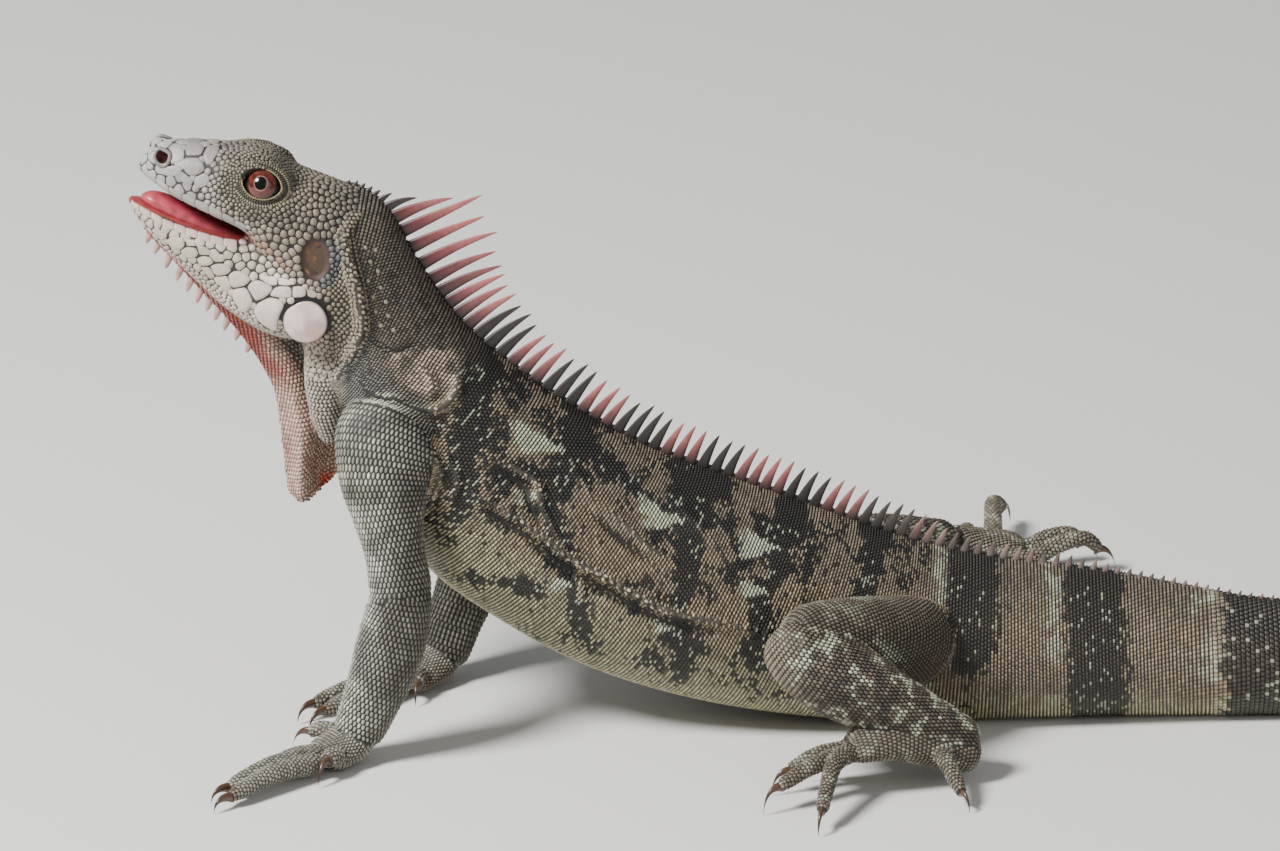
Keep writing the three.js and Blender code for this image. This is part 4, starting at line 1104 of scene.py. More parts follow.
skinScales = tinted("dry scales", 0.5)
skinLook = tinted("skin between scales", 0.6, grain=0.2)
wetFlesh = tinted("wet mouth lining", 0.45, grain=0.25, grainSize=300, bump=0.4, wetness=0.3, shine=0.35,
                  coatRough=0.22, softLight=0.2)
hornLook = tinted("claw horn", 0.3, grain=0.15, wetness=0.2)
spineLook = tinted("crest spines", 0.42, grain=0.12, grainSize=500)
plateLook = tinted("smooth plates", 0.34, grain=0.08, grainSize=300, bump=0.1, wetness=0.25)
eyeLook = tinted("eye", 0.14, grain=0.05, grainSize=400, bump=0.0, wetness=0.55, shine=0.3)
drumLook = tinted("eardrum", 0.45, grain=0.35, grainSize=350, bump=0.3)


print("skin colours")
mesh = skin.data
skinPoints = pointsOf(mesh)
nx, ny, nz = verticesOf(mesh, "normal").T
facesIn = (ny * np.sign(skinPoints[:, 1]) < -0.15) | (nx < -0.3) & (skinPoints[:, 0] > -164)
facesAhead = nx < -0.72
inMouth = (insideMouth(skinPoints, 1.25)
           | (insideMouth(skinPoints, 3.2) & facesIn & (abs(skinPoints[:, 1]) < 15)))
part = partOf(skinPoints)
sideX, sideZ = flatTo(skinPoints)
snoutPart = (part == headPart) * fade(sideX, -176, -160) * ease(sideZ, 214, 222)
# the skin between the scales is painted much darker than they are, as shade in the gaps between them, by a
# share for each part of the body
share = (0.11 - 0.05 * (part == headPart) + 0.06 * snoutPart + 0.3 * (part == dewlapPart)
         - 0.06 * (part == armPart) + 0.05 * (part == footPart))
skinTint = markings(skinPoints) * share[:, None]
# painted shade in the crease round each cheek dome: the skin there is darkened further
rimOf = hypot(sideX + 133.2, sideZ - 174.2)
skinTint = skinTint * (1 - 0.9 * (part == headPart) * (rimOf < 11.5))[:, None]
# painted shade in the hollows: the skin round and inside each eye opening, and inside each ear and nostril,
# is darkened
for name, side in sideNames:
    u, v, w = seenFrom(skinPoints, eyeAxes[name])
    far = hypot(u / 1.25, v) + 20 * (w < 0)
    lay(skinTint, (48, 43, 33), fade(far, 9, 12))
    lay(skinTint, (30, 26, 20), fade(far, 5.2, 6.6))
    for spot, tone in ((ear, (70, 52, 40)), (nostril, (84, 32, 27))):
        u, v, w = seenFrom(skinPoints, spotAxes(spot, side))
        near = hypot(u / spot["size"][0], v / spot["size"][1]) + 9 * (abs(w) > 6)
        lay(skinTint, tone, fade(near, 0.8, 1.05))
# painted shade: the mouth lining is darkened towards the back of the mouth and lightened at its front
mouthDepthShade = interp(skinPoints[:, 0], [-196, -184, -168], [1.3, 1, 0.7])
coloured(skin, where(inMouth[:, None], tones["mouth"] * mouthDepthShade[:, None], skinTint), skinLook)
skin.data.materials.append(wetFlesh)
wetFaces = np.empty(len(mesh.polygons) * 3, np.int32)
mesh.polygons.foreach_get("vertices", wetFaces)
mesh.polygons.foreach_set("material_index", inMouth[wetFaces.reshape(-1, 3)].all(axis=1).astype(np.int32))
mesh.update()


print("coats")
bodyCoat = {"at": [0, 3.4, 4.2, 13.5, 15.5, 20, 23],  # ring positions, and the gaps of the rows there
            "rowGap": [1.4, 1.4, 1.42, 1.42, 2.1, 2.1, 1.8], "sideGap": [1.5, 1.5, 1.75, 1.75, 2.1, 2.1, 1.4],
            "rise": 0.46, "tilt": 0.5, "shadeSpread": 0.24}
limbCoat = {"arm": 2.2, "leg": 1.8, "palm": 1.75, "digit": 1.65}
scalePlaces = []  # where scales have been laid so far


def coatOf(field, shape, rise, tilt, longer=1.0, wider=1.06, root=(0.0, 0.0)):
    p = plant(shape, field["at"], field["up"], field["lie"], field["long"] * longer, field["wide"] * wider,
              rise, tilt)
    shades = 1 + bodyCoat["shadeSpread"] * (chance.random(len(p)) - 0.5) * 2
    tint = markings(field["at"], chance.random(len(p))) * shades[:, None]
    scalePlaces.append(field["at"])
    spot = column_stack([field["t"] * 0.006 + root[0], field["angle"] / turn * 0.2 + root[1]])
    return p, shape, tint, spot


def uncovered(points, cell=0.95):
    # points with no scale in their own cell or the 26 round it; cells are numbered by floor(place / cell)
    def numbers(p, step=(0, 0, 0)):
        q = np.floor(p / cell).astype(np.int64) + step + 4096
        return (q[:, 0] * 8192 + q[:, 1]) * 8192 + q[:, 2]
    taken = np.unique(numbers(concatenate(scalePlaces)))
    bare = np.ones(len(points), bool)
    for k in range(27):
        bare &= ~np.isin(numbers(points, (k // 9 - 1, k // 3 % 3 - 1, k % 3 - 1)), taken)
    return bare


def clearOfHead(field):
    # keeps scales out of the mouth and off the ground they would sink in
    return only(field, ~insideMouth(field["at"], 1.2) & (field["at"][:, 2] > 0.3))


def sidePlace(x, z, side):
    # the skin's place at a spot given along and up the side: its depth is found by steps; on the flat
    # crown the height still missing is walked inwards along the skin, by missing / (|ny| + sideLean nz)
    deep = np.full(len(x), 17.0)
    for step in range(5):
        at, up = onSkin(column_stack([x, side * deep, z - sideLean * (sideOut - deep)]))
        deep = 0.3 * deep + 0.7 * abs(at[:, 1])
    for step in range(5):
        missing = (z - flatTo(at)[1]) * (z > 238) * (up[:, 2] > 0.4)
        ny, nz = abs(up[:, 1]), up[:, 2]
        far = clip(missing / maximum(ny + sideLean * nz, 0.3), -2, 2)
        walk = column_stack([(x - at[:, 0]) * (far != 0), -side * nz * far, ny * far])
        at, up = onSkin(at + walk)
    return at, up


body = rowsOn(lambda t, a: onLoft(bodyRings, t, a, 0.5), 0.3, 22.97,
              lambda t: interp(t, bodyCoat["at"], bodyCoat["rowGap"]),
              lambda t: interp(t, bodyCoat["at"], bodyCoat["sideGap"]))
body = landed(body, interp(body["t"], [2.6, 3, 11.9, 12.1], [6, 3.8, 3.8, 1.8]), 0.15)
body = only(body, (partOf(body["at"]) == bodyPart) | (body["t"] > 3.2))
body = clearOfHead(body)
print("body scales", len(body["t"]))
tubercles = array([(-107, 200), (-104, 196), (-108, 192), (-103, 189), (-106, 185), (-101, 183), (-105, 179),
                   (-100, 177), (-103, 173), (-98, 171), (-109, 206), (-105, 205)], float)
ridgeZ = repeat(arange(159, 222, 1.75), 4)
ridgeX = foldAt(ridgeZ) + 1.0 + np.tile([-2.6, -0.9, 0.9, 2.6], len(ridgeZ) // 4)
beadX, beadZ = concatenate([tubercles[:, 0], ridgeX]), concatenate([tubercles[:, 1], ridgeZ])
beadAt, beadUp = (concatenate(v) for v in zip(sidePlace(beadX, beadZ, -1), sidePlace(beadX, beadZ, 1)))
scalePlaces.append(beadAt)
beadSize = np.tile(concatenate([np.full(len(tubercles), 2.5), np.full(len(ridgeX), 1.9)]), 2)
near = norm(body["at"][:, None] - beadAt[None], axis=2)
body = only(body, (near > 0.26 * beadSize + 0.45).all(axis=1))
beadTint = np.tile(np.vstack([plain("tubercle", len(tubercles)), plain("ridge", len(ridgeX))]), (2, 1))
beadTint = beadTint * (0.8 + 0.4 * chance.random(len(beadAt)))[:, None]
beadPoints = plant(roundScale, beadAt, beadUp, repeat([[1.0, 0, -0.6]], len(beadAt), axis=0),
                   beadSize, beadSize * 0.93, 0.24 * beadSize)
left = body["at"][:, 1] < 0
trunk, tail = body["t"] <= 14.3, body["t"] > 14.3
for name, keep, shape in (("trunk_scales_left", trunk & left, ribScale),
                          ("trunk_scales_right", trunk & ~left, ribScale),
                          ("tail_scales_front", tail & (body["t"] < 17), tailScale),
                          ("tail_scales_rear", body["t"] >= 17, tailScale)):
    field = only(body, keep)
    spread = (0.94, 1.1) if shape is ribScale else (1.0, 1.0)
    batches = [coatOf(field, shape, bodyCoat["rise"], bodyCoat["tilt"], *spread)]
    if name[:5] == "trunk":
        own = (beadAt[:, 1] < 0) == (name[-4:] == "left")
        batches.append((beadPoints[own], roundScale, beadTint[own], beadAt[own][:, [0, 2]] * 0.003 + 3))
    makeCoat(name, batches, skinScales)

digitBatches = []
for number, (name, limb) in enumerate(limbs.items()):
    size = limbCoat[name[:3]]
    batches = []
    isArm = name[:3] == "arm"
    for k, key in enumerate(("upperRings", "lowerRings", "palmRings")):
        rings = limb[key]
        gap = limbCoat["palm"] if key == "palmRings" else size
        field = landed(rowsOn(lambda t, a: onLoft(rings, t, a, 0.6), 0.15, len(rings) - 1.15, gap,
                              gap * (0.88 if isArm else 0.95)), 1.2, 0.55)
        own = (footPart,) if key == "palmRings" else (armPart, legPart)
        field = only(field, np.isin(partOf(field["at"]), own))
        field = clearOfHead(only(field, uncovered(field["at"], 0.7)))
        shape, spread = (pointedScale, (1.26, 0.82)) if isArm else (keeledScale, (1.12, 1.0))
        batches.append(coatOf(field, shape, 0.5, 0.5, *spread, (0.2 * k + 0.7 * number, 0.3)))
    for k, rings in enumerate(limb["digitRings"]):
        field = landed(rowsOn(lambda t, a: onLoft(rings, t, a, 0.35), 0.1, len(rings) - 1.03,
                              limbCoat["digit"], limbCoat["digit"] * 1.15), 1.0, 0.5)
        field = clearOfHead(only(field, uncovered(field["at"], 0.6)))
        digitBatches.append(coatOf(field, keeledScale, 0.4, 0.5, 1.12, 1.04, (0.1 * k + 0.7 * number, 0.6)))
    makeCoat(name + "_scales", batches, skinScales)
makeCoat("digit_scales", digitBatches, skinScales)

flap = landed(rowsOn(lambda t, a: onDewlap(t, a), 0.2, 8.8, 1.8, 1.8), 1.5, 0.3)
flap = only(flap, partOf(flap["at"]) == dewlapPart)
batches = [coatOf(flap, keeledScale, 0.42, 0.3, 1.04, 0.98, (0, 0.9))]
for name, side in sideNames:
    loose = landed(rowsOn(lambda t, a: onLoft(throatFold(side), t, a, 0.4), 0.2, 3.9, 1.8, 1.7), 1.0, 0.4)
    loose = only(loose, (loose["at"][:, 2] < 166) & (partOf(loose["at"]) <= headPart))
    batches.append(coatOf(loose, keeledScale, 0.4, 0.3, 1.12, 1.04, (0.2 * side, 1.2)))
makeCoat("dewlap_scales", batches, skinScales)


# creases that the rows do not reach are filled with small scattered scales
fillSize = {"body": 1.7, "limb": 1.65}
bare = (part != 1) & uncovered(skinPoints) & ~insideMouth(skinPoints, 2.6) & (skinPoints[:, 2] > 0.9)
at, up = onSkin(skinPoints[bare])
onLimb = np.isin(part[bare], (armPart, legPart, footPart))
size = where(onLimb, fillSize["limb"], fillSize["body"])
keep = apart(at, size, 0.8)
at, up, size = at[keep], up[keep], size[keep]
print("filling scales", len(at))
tint = markings(at, chance.random(len(at))) * (0.85 + 0.3 * chance.random(len(at)))[:, None]
lie = repeat([[1.0, 0.1, -0.3]], len(at), axis=0)
makeCoat("crease_scales", [(plant(keeledScale, at, up, lie, size * 1.15, size, 0.4, 0.2), keeledScale, tint,
                            at[:, [0, 2]] * 0.003 + 6)], skinScales)


headCoat = {"groove": 0.05, "rise": 0.38, "steps": 3}
outlines = [  # big plates of the jaw and snout: corners along and up the side of the head
    [(-153.6, 180), (-152, 182.6), (-147, 185.2), (-143, 184.2), (-140.6, 182.4), (-142.6, 179),
     (-143.9, 174.5), (-144, 170.8), (-148.5, 172.4), (-152, 176)],
    [(-156, 189.5), (-153.8, 192), (-151.5, 192.4), (-148, 190.7), (-145.3, 189.3), (-146.4, 187),
     (-149, 185), (-152.6, 183.4), (-154, 186.3)],
    [(-162, 188.4), (-159, 189), (-156.4, 189.4), (-154.4, 186), (-153.6, 183), (-155.5, 179.6),
     (-157.6, 178.2), (-159.6, 181), (-161.6, 184)],
    [(-163.5, 194.4), (-161, 196.3), (-157.5, 195.9), (-154, 192.7), (-156.4, 190.2), (-160, 189.3),
     (-162.3, 189.2)],
    [(-168, 193.6), (-164, 194.2), (-162.5, 191), (-162.3, 188.6), (-164.2, 187), (-166.4, 189)],
    [(-151, 193.6), (-147, 194), (-143.9, 193.3), (-143.8, 190.3), (-146, 189.9), (-149, 191.4)],
    [(-143.3, 193.2), (-140, 192.6), (-136.6, 190.7), (-139.5, 190), (-143.3, 190.2)],
    [(-147, 185.8), (-145.2, 188.9), (-143, 189.6), (-138.5, 189.4), (-138.1, 187), (-138.2, 184.8),
     (-142, 184.8)],
    [(-137.8, 189.4), (-134.6, 189.7), (-132.8, 188.6), (-132.5, 186), (-134, 185.2), (-137.8, 184.9)],
    [(-132.2, 188.4), (-129, 187.4), (-127.6, 186), (-129.3, 184.7), (-131.8, 185.4)],
    [(-194.5, 213.2), (-192.5, 214.8), (-187.5, 211.8), (-188.6, 209.4), (-190.6, 209.2)],
    [(-188.4, 209), (-186, 210.8), (-181.2, 210.3), (-180.8, 208), (-180.8, 206.6), (-183, 205),
     (-185.8, 205.4)],
    [(-182.6, 204.8), (-180, 206.4), (-176.5, 206), (-175.1, 203.5), (-176.6, 201.8), (-180.4, 201.4)],
    [(-176.2, 201.4), (-173.5, 202.5), (-170.6, 202), (-169.1, 199.8), (-171, 198.6), (-174.6, 198.4)],
    [(-170.8, 198.2), (-168.5, 199.2), (-164.8, 199.2), (-161.9, 196.7), (-164, 194.7), (-168.4, 194.2)],
    [(-174.6, 197.9), (-171.2, 197.9), (-169.4, 195.5), (-168.7, 193.4), (-171, 192.8), (-172.5, 195)],
    [(-175.8, 206.4), (-172.5, 206.5), (-169.6, 203.9), (-171, 202.9), (-174.8, 203.1)],
    [(-180.4, 209.7), (-176.4, 209.3), (-176.2, 206.8), (-179.8, 206.9)],
    [(-170.3, 202.1), (-168, 203.3), (-165, 203.1), (-164.3, 201.1), (-166, 200), (-168.8, 200.1)],
    [(-186.2, 248.8), (-182, 248.6), (-180.5, 246), (-181, 243.2), (-183.3, 241.6), (-186.4, 241.4),
     (-185.4, 244.5)],
    [(-188.2, 240.2), (-184.2, 241), (-181.7, 240.4), (-181.4, 238.4), (-183.6, 236.3), (-187, 236.4),
     (-190.4, 237.4)],
    [(-180, 250.6), (-175, 250.4), (-172.6, 248.2), (-174.2, 245), (-180, 244.9), (-180.3, 247)],
    [(-180.4, 244.2), (-174.6, 244), (-172.8, 241), (-172.3, 238.6), (-176, 236.5), (-178.6, 236.3),
     (-181, 238.8)],
    [(-180.6, 237.6), (-178.9, 236), (-177, 234.6), (-177.8, 232.5), (-180.4, 233), (-182.4, 235)],
    [(-176.3, 235.8), (-172.3, 238), (-170.3, 235.5), (-171.3, 232.6), (-175.3, 230.9), (-176.9, 232.7)],
    [(-173.4, 245), (-172, 248.3), (-170.5, 249.8), (-166.6, 248.8), (-167.4, 245.6), (-169.2, 243),
     (-169.4, 240.8), (-172, 240.7)],
    [(-200, 240.8), (-197, 243.6), (-195.6, 242), (-196.4, 238.6), (-198, 238.6)]]
upperLip = [-197.5, -192.3, -187, -181.5, -176.4, -171, -165.6, -160.6, -156]
lowerLip = [-203, -198.6, -194.2, -189.6, -185, -180.3, -175.7, -170.6, -165.3, -160]
for row, line, low, high in ((upperLip, lipLine, -0.3, 4.3), (lowerLip, jawLine, -4.3, -0.4)):
    height = interp(row, *line.T)
    outlines += [[(xa, za + low), (xb, zb + low), (xb, zb + high), (xa, za + high)]
                 for xa, xb, za, zb in zip(row[:-1], row[1:], height[:-1], height[1:])]
seedPlates = [(-167, 206.3, 3.6), (-163.5, 203.4, 3.2), (-160.2, 201.3, 3.4), (-156.6, 202, 3.2),
              (-163.2, 199, 3), (-158.4, 198.8, 3.2), (-154.6, 199, 3), (-150.4, 197, 3.2),
              (-146.2, 196.4, 3), (-161.5, 206.4, 3.2)]


lidRows = {"first": 1.1, "last": 1.5, "rows": 4, "across": 0.95, "room": 0.85,
           "tones": [(92, 86, 68), (52, 47, 38), (140, 132, 106), (100, 93, 77)]}


def plateSize(p):
    # width of a scale by its place on the head
    x, z = flatTo(p)
    eye = hypot((x + 151.5) / 1.2, z - 232.5)
    size = interp(x, [-200, -186, -172, -166, -150, -130, -122, -112],
                  [3.4, 3.6, 3.2, 2.4, 3.0, 2.8, 2.3, 2.0])
    crown = interp(x, [-195, -180, -168, -158, -140, -125, -110], [5, 6, 4.4, 2.8, 2.6, 2.5, 2.0])
    size += (crown - size) * ease(z, 240, 246)
    below = (z < interp(x, *jawLine.T)) & (z < interp(x, *lipLine.T) - 4)
    size = where(below, interp(x, [-195, -185, -165, -155, -140, -125], [3.4, 3.4, 3.2, 3.1, 2.6, 2.0]), size)
    size = where(z < 176 - 0.8 * (x + 150), np.minimum(size, 2.0), size)
    size = where((eye < 22) & (size > 2), interp(eye, [9, 12, 16, 22], [1.15, 1.5, 2.0, 2.6]), size)
    return where((x > -122) & (z < 200), 1.5, size)


def smoothOutline(corners, count):
    # corners joined at even lengths, rounded once, and pushed out a little from their middle
    closed = array(corners + corners[:1], float)
    run = running(closed)
    even = arange(count) / count * run[-1]
    line = stack([interp(even, run, closed[:, k]) for k in range(2)], axis=1)
    line = 0.25 * roll(line, 1, axis=0) + 0.5 * line + 0.25 * roll(line, -1, axis=0)
    middle = line.mean(axis=0)
    reach = norm(line - middle, axis=1, keepdims=True)
    return middle + (line - middle) * (1 + bigPlate["spread"] / reach), middle


def inOutline(x, z, corners):  # even-odd rule
    inside = np.zeros(len(x), bool)
    for (xa, za), (xb, zb) in zip(corners, roll(corners, -1, axis=0)):
        crosses = (za > z) != (zb > z)
        inside ^= crosses & (x < (xb - xa) * (z - za) / where(zb == za, 1, zb - za) + xa)
    return inside


def signedArea(line):
    x, z = line[:, 0], line[:, 1]
    return np.sum(x * roll(z, -1) - z * roll(x, -1)) / 2


# the shades paint shade into the groove at each plate's rim, and a slight painted highlight on its raised top
bigPlate = {"corners": 24, "spread": 0.14, "rings": [1, 0.965, 0.88, 0.55, 0.25],
            "lift": [-0.5, 0.55, 0.92, 1.05, 1.1], "shades": [0.2, 0.7, 1.0, 1.05, 1.06]}


def bigPlates():
    # each outline shrunk to its middle in rings, laid on the skin and raised to a flat-topped plate
    count, rings, lift, shades = (bigPlate[key] for key in ("corners", "rings", "lift", "shades"))
    shape = {"points": np.zeros((len(rings) * count + 1, 3)), **domeFaces(len(rings), count),
             "shade": np.append(repeat(shades, count), shades[-1])}
    turned = {**shape, "quads": shape["quads"][:, ::-1], "triangles": shape["triangles"][:, ::-1]}
    parts = []
    for corners in outlines:
        line, middle = smoothOutline(corners, count)
        size = norm(line - middle, axis=1).mean()
        spots = concatenate([middle + (line - middle) * r for r in rings] + [middle[None]])
        height = np.append(repeat(lift, count), lift[-1]) * interp(size, [1.5, 3, 6], [0.45, 0.55, 1.1])
        for side in (-1, 1):
            at, up = sidePlace(spots[:, 0], spots[:, 1], side)
            points = at + unit(up + up.mean(axis=0)) * height[:, None]
            tint = markings(at[-1:], chance.random(1)) * (0.92 + 0.16 * chance.random())
            root = [[middle[0] * 0.005 + 1, side * 0.3 + middle[1] * 0.005]]
            parts.append((points[None], shape if signedArea(line) * side > 0 else turned, tint, array(root)))
    return parts


def plateSpots():
    # the head's skin points that carry scales
    p = skinPoints
    keep = (part == headPart) & ~insideMouth(p, 1.3) & (p[:, 0] > -204)
    for name, side in sideNames:
        u, v, w = seenFrom(p, eyeAxes[name])
        keep &= ~((hypot(u / eyeShape["opening"][0], v / eyeShape["opening"][1]) < 1.08) & (w > -4))
        close = np.flatnonzero(keep & (norm(p - eyeAxes[name][0], axis=1) < 18))
        keep[close] = norm(p[close, None] - lidSpots[name][None], axis=2).min(axis=1) > lidRows["room"]
        for spot, reach, deep in ((ear, 1.08, 7), (nostril, 1.05, 7), (nostril, 1.42, 3.6)):
            u, v, w = seenFrom(p, spotAxes(spot, side))
            keep &= ~((hypot(u / spot["size"][0], v / spot["size"][1]) < reach) & (abs(w) < deep))
        keep &= norm(p - spotAxes(plate, side)[0], axis=1) > plate["radius"] + 1.9
    for corners in outlines:
        reach = array(corners) - np.mean(corners, axis=0)
        grown = np.mean(corners, axis=0) + reach * (1 + 0.6 / norm(reach, axis=1, keepdims=True))
        keep &= ~(inOutline(sideX, sideZ, grown) & ~facesAhead)
    return p[keep]


def closestCells(seeds, count):
    # for each seed its nearest others, as a table of numbers, found block by block
    found = []
    for i in range(0, len(seeds), 400):
        far = ((seeds[i:i + 400, None] - seeds[None]) ** 2).sum(axis=2)
        near = np.argpartition(far, count + 1, axis=1)[:, :count + 2]
        order = np.argsort(np.take_along_axis(far, near, axis=1), axis=1)
        found.append(np.take_along_axis(near, order, axis=1)[:, 1:count + 1])
    return concatenate(found)


def cellShapes(at, up, lie, size, spokes):
    # reach of each cell along its spokes: the nearest border with a neighbour of another size,
    # (far^2 + own^2 - other^2) / (2 * neighbour along the spoke)
    along = unit(lie - up * np.sum(lie * up, axis=1, keepdims=True))
    across = cross(up, along)
    near = closestCells(at, 16)
    q = at[near] - at[:, None]
    flatX, flatY = np.einsum("nkc,nc->nk", q, along), np.einsum("nkc,nc->nk", q, across)
    stretch = norm(q, axis=2) / maximum(hypot(flatX, flatY), 1e-6)
    flatX, flatY = flatX * stretch, flatY * stretch
    a = (arange(spokes) + 0.5) * turn / spokes
    onSpoke = flatX[..., None] * cos(a) + flatY[..., None] * sin(a)
    power = (flatX**2 + flatY**2 + (size[:, None] / 2) ** 2 - (size[near] / 2) ** 2)[..., None]
    reach = where(onSpoke > 1e-3, power / maximum(2 * onSpoke, 1e-3), 1e3).min(axis=1)
    reach = clip(reach, 0.2 * size[:, None], 0.72 * size[:, None])
    return along, across, a, reach


def scatterPlates():
    spots = plateSpots()
    sizes = plateSize(spots)
    fixed = []
    for side in (-1, 1):
        onSide = spots[spots[:, 1] * side > 0]
        x, z = flatTo(onSide)
        fixed += [(*onSide[np.argmin((x - along) ** 2 + (z - height) ** 2)], width)
                  for along, height, width in seedPlates]
    fixed = array(fixed)
    order = np.argsort(-sizes + 0.9 * chance.random(len(sizes)))  # larger scales mostly first
    at = concatenate([fixed[:, :3], spots[order]])
    size = concatenate([fixed[:, 3], sizes[order]])
    keep = apart(at, size, 0.86)
    keep[:len(fixed)] = True
    at, size = at[keep], size[keep]
    fixed = arange(len(at)) < len(fixed)
    lie = repeat([[1.0, 0, -0.15]], len(at), axis=0)
    for step in range(headCoat["steps"]):  # each cell moves to its own middle
        at, up = onSkin(at)
        along, across, a, reach = cellShapes(at, up, lie, size, 12)
        weight = (reach**2).sum(axis=1)
        moveX, moveY = ((reach**3 * f).sum(axis=1) * 2 / 3 / weight for f in (cos(a), sin(a)))
        shift = along * moveX[:, None] + across * moveY[:, None]
        at = at + shift * where(fixed, 0.15, 0.7)[:, None]
    at, up = onSkin(at)
    return at, up, lie, size


# of each size of head scale: from and to what width, its spokes, and its shoulders' reach and height
plateKinds = ((0, 1.6, 8, ((0.8, 0.8),)), (1.6, 3.1, 10, ((0.88, 0.72),)),
              (3.1, 99, 14, ((0.93, 0.6), (0.8, 0.92))))


def plateBatches(at, up, lie, size, colours):
    # each cell's edge a little inside its borders, raised over its shoulders to one middle point
    along, across, _, reach = cellShapes(at, up, lie, size, 14)
    batches = []
    for low, high, spokes, shoulders in plateKinds:
        own = (size >= low) & (size < high)
        k = (arange(spokes) + 0.5) * 14 / spokes - 0.5
        full = stack([interp(k, arange(-1, 15), concatenate([r[-1:], r, r[:1]])) for r in reach[own]])
        s = size[own][:, None]
        edge = full - headCoat["groove"] - 0.012 * s
        rise = headCoat["rise"] * interp(s, [0.8, 2, 5, 12], [0.8, 1.15, 1.0, 1.7])
        far = concatenate([edge] + [edge * inward for inward, lift in shoulders] + [0 * s], axis=1)
        height = concatenate([-0.5 + 0 * edge] + [rise * lift + 0 * edge for inward, lift in shoulders]
                             + [rise], axis=1)
        angle = np.append(np.tile((arange(spokes) + 0.5) * turn / spokes, len(shoulders) + 1), 0)
        flat = (at[own][:, None] + along[own][:, None] * (far * cos(angle))[..., None]
                + across[own][:, None] * (far * sin(angle))[..., None])
        laid, out = (v.reshape(flat.shape) for v in onSkin(flat.reshape(-1, 3)))
        points = laid + unit(out + up[own][:, None]) * height[..., None]
        onRim = far[0] > 0
        # painted shade in the groove at each scale's rim, and a painted highlight on its top
        shades = [0.3] + [0.75 + 0.3 * lift for inward, lift in shoulders]
        shape = {"points": column_stack([cos(angle) * onRim, sin(angle) * onRim, angle * 0]),
                 "shade": np.append(repeat(shades, spokes), 1.08), **domeFaces(len(shades), spokes)}
        root = column_stack([at[own][:, 0] * 0.005 + 1,
                             np.arctan2(at[own][:, 1], at[own][:, 2] - 205) * 0.12])
        batches.append((points, shape, colours[own], root))
    return batches


print("head plates")
lidBatches, lidSpots = [], {}
for name, side in sideNames:
    # rows of granules round each eye, every row of its own tone like the folds of the lids: the dark row is
    # painted shade in a fold and the pale row a painted highlight on its crest
    reach = linspace(lidRows["first"], lidRows["last"], lidRows["rows"])
    counts = [int(turn * 0.5 * sum(eyeShape["opening"]) * r / lidRows["across"]) for r in reach]
    r, row = repeat(reach, counts), repeat(arange(lidRows["rows"]), counts)
    angle = concatenate([(arange(n) + 0.5 * (i % 2)) * turn / n for i, n in enumerate(counts)])
    aim = lidPoint(eyeAxes[name], r, angle)
    at, up = onSkin(aim)
    landedWell = norm(at - aim, axis=1) < 1.3
    r, row, angle, at, up = (v[landedWell] for v in (r, row, angle, at, up))
    lidSpots[name] = at
    lie = lidPoint(eyeAxes[name], r + 0.05, angle) - lidPoint(eyeAxes[name], r - 0.05, angle)
    long = norm(lie, axis=1) / 0.1 * (reach[1] - reach[0])
    p = plant(keeledScale, at, up, lie, long * 0.98, lidRows["across"], 0.34 - 0.12 * (row % 2), 0.2)
    tint = array([paint(*rgb) for rgb in lidRows["tones"]])[row]
    tint = tint * (0.8 + 0.4 * chance.random(len(row)))[:, None]
    lidBatches.append((p, keeledScale, tint, column_stack([r * 0.01 + side, angle * 0.01])))
makeCoat("lid_scales", lidBatches, skinScales)
at, up, lie, size = scatterPlates()
colours = markings(at, chance.random(len(at))) * (1 + 0.2 * (chance.random(len(at)) - 0.5))[:, None]
print("head scales", len(at))
big = bigPlates()
makeCoat("head_scales", big + plateBatches(at, up, lie, size, colours), skinScales)


print("eyes and face")
eyePaint = {"iris": (88, 34, 26), "patch": (124, 58, 43), "fibre": (34, 13, 11), "ring": (170, 140, 122),
            "rim": (16, 10, 9), "lid": (128, 120, 86), "lidBeads": 56}


def eyeball(eye):
    # rings of a sphere about the gaze; colour by distance from the gaze and angle round it
    centre, ahead, over, gaze = eye
    off, about = np.meshgrid(concatenate([linspace(0.01, 1.25, 90), linspace(1.3, pi - 0.02, 30)]),
                             circle(128), indexing="ij")
    bulge = eyeShape["radius"] + 0.55 * exp(-(sin(off) * eyeShape["radius"] / 4.6) ** 4) * (off < 1.5)
    grid = centre + (gaze * cos(off)[..., None] + ahead * (sin(off) * cos(about))[..., None]
                     + over * (sin(off) * sin(about))[..., None]) * bulge[..., None]
    off, about = off.ravel(), about.ravel()
    far = sin(np.minimum(off, 1.57)) * eyeShape["radius"]
    spot = stack([far * cos(about), far * sin(about), 0 * far], axis=-1)
    wave = cloud(stack([cos(about) * 9, sin(about) * 9, far * 0.6], axis=1), 1.3, 21)
    c = plain(eyePaint["iris"], len(far))
    lay(c, eyePaint["patch"], ease(cloud(spot, 2.0, 22), 0.5, 0.75) * ease(far, 2.8, 4.0) * 0.75)
    lay(c, eyePaint["fibre"], ease(wave, 0.5, 0.8) * 0.7)
    lay(c, eyePaint["rim"], ease(far, eyeShape["iris"] - 1.1, eyeShape["iris"]))
    pupil = hypot(spot[:, 0] / 0.94, spot[:, 1] / 1.04)
    lay(c, eyePaint["ring"], exp(-((pupil - eyeShape["pupil"] - 0.14) / 0.16) ** 2) * 0.6)
    return grid, c * ease(pupil, eyeShape["pupil"] - 0.16, eyeShape["pupil"] + 0.06)[:, None] + 0.002


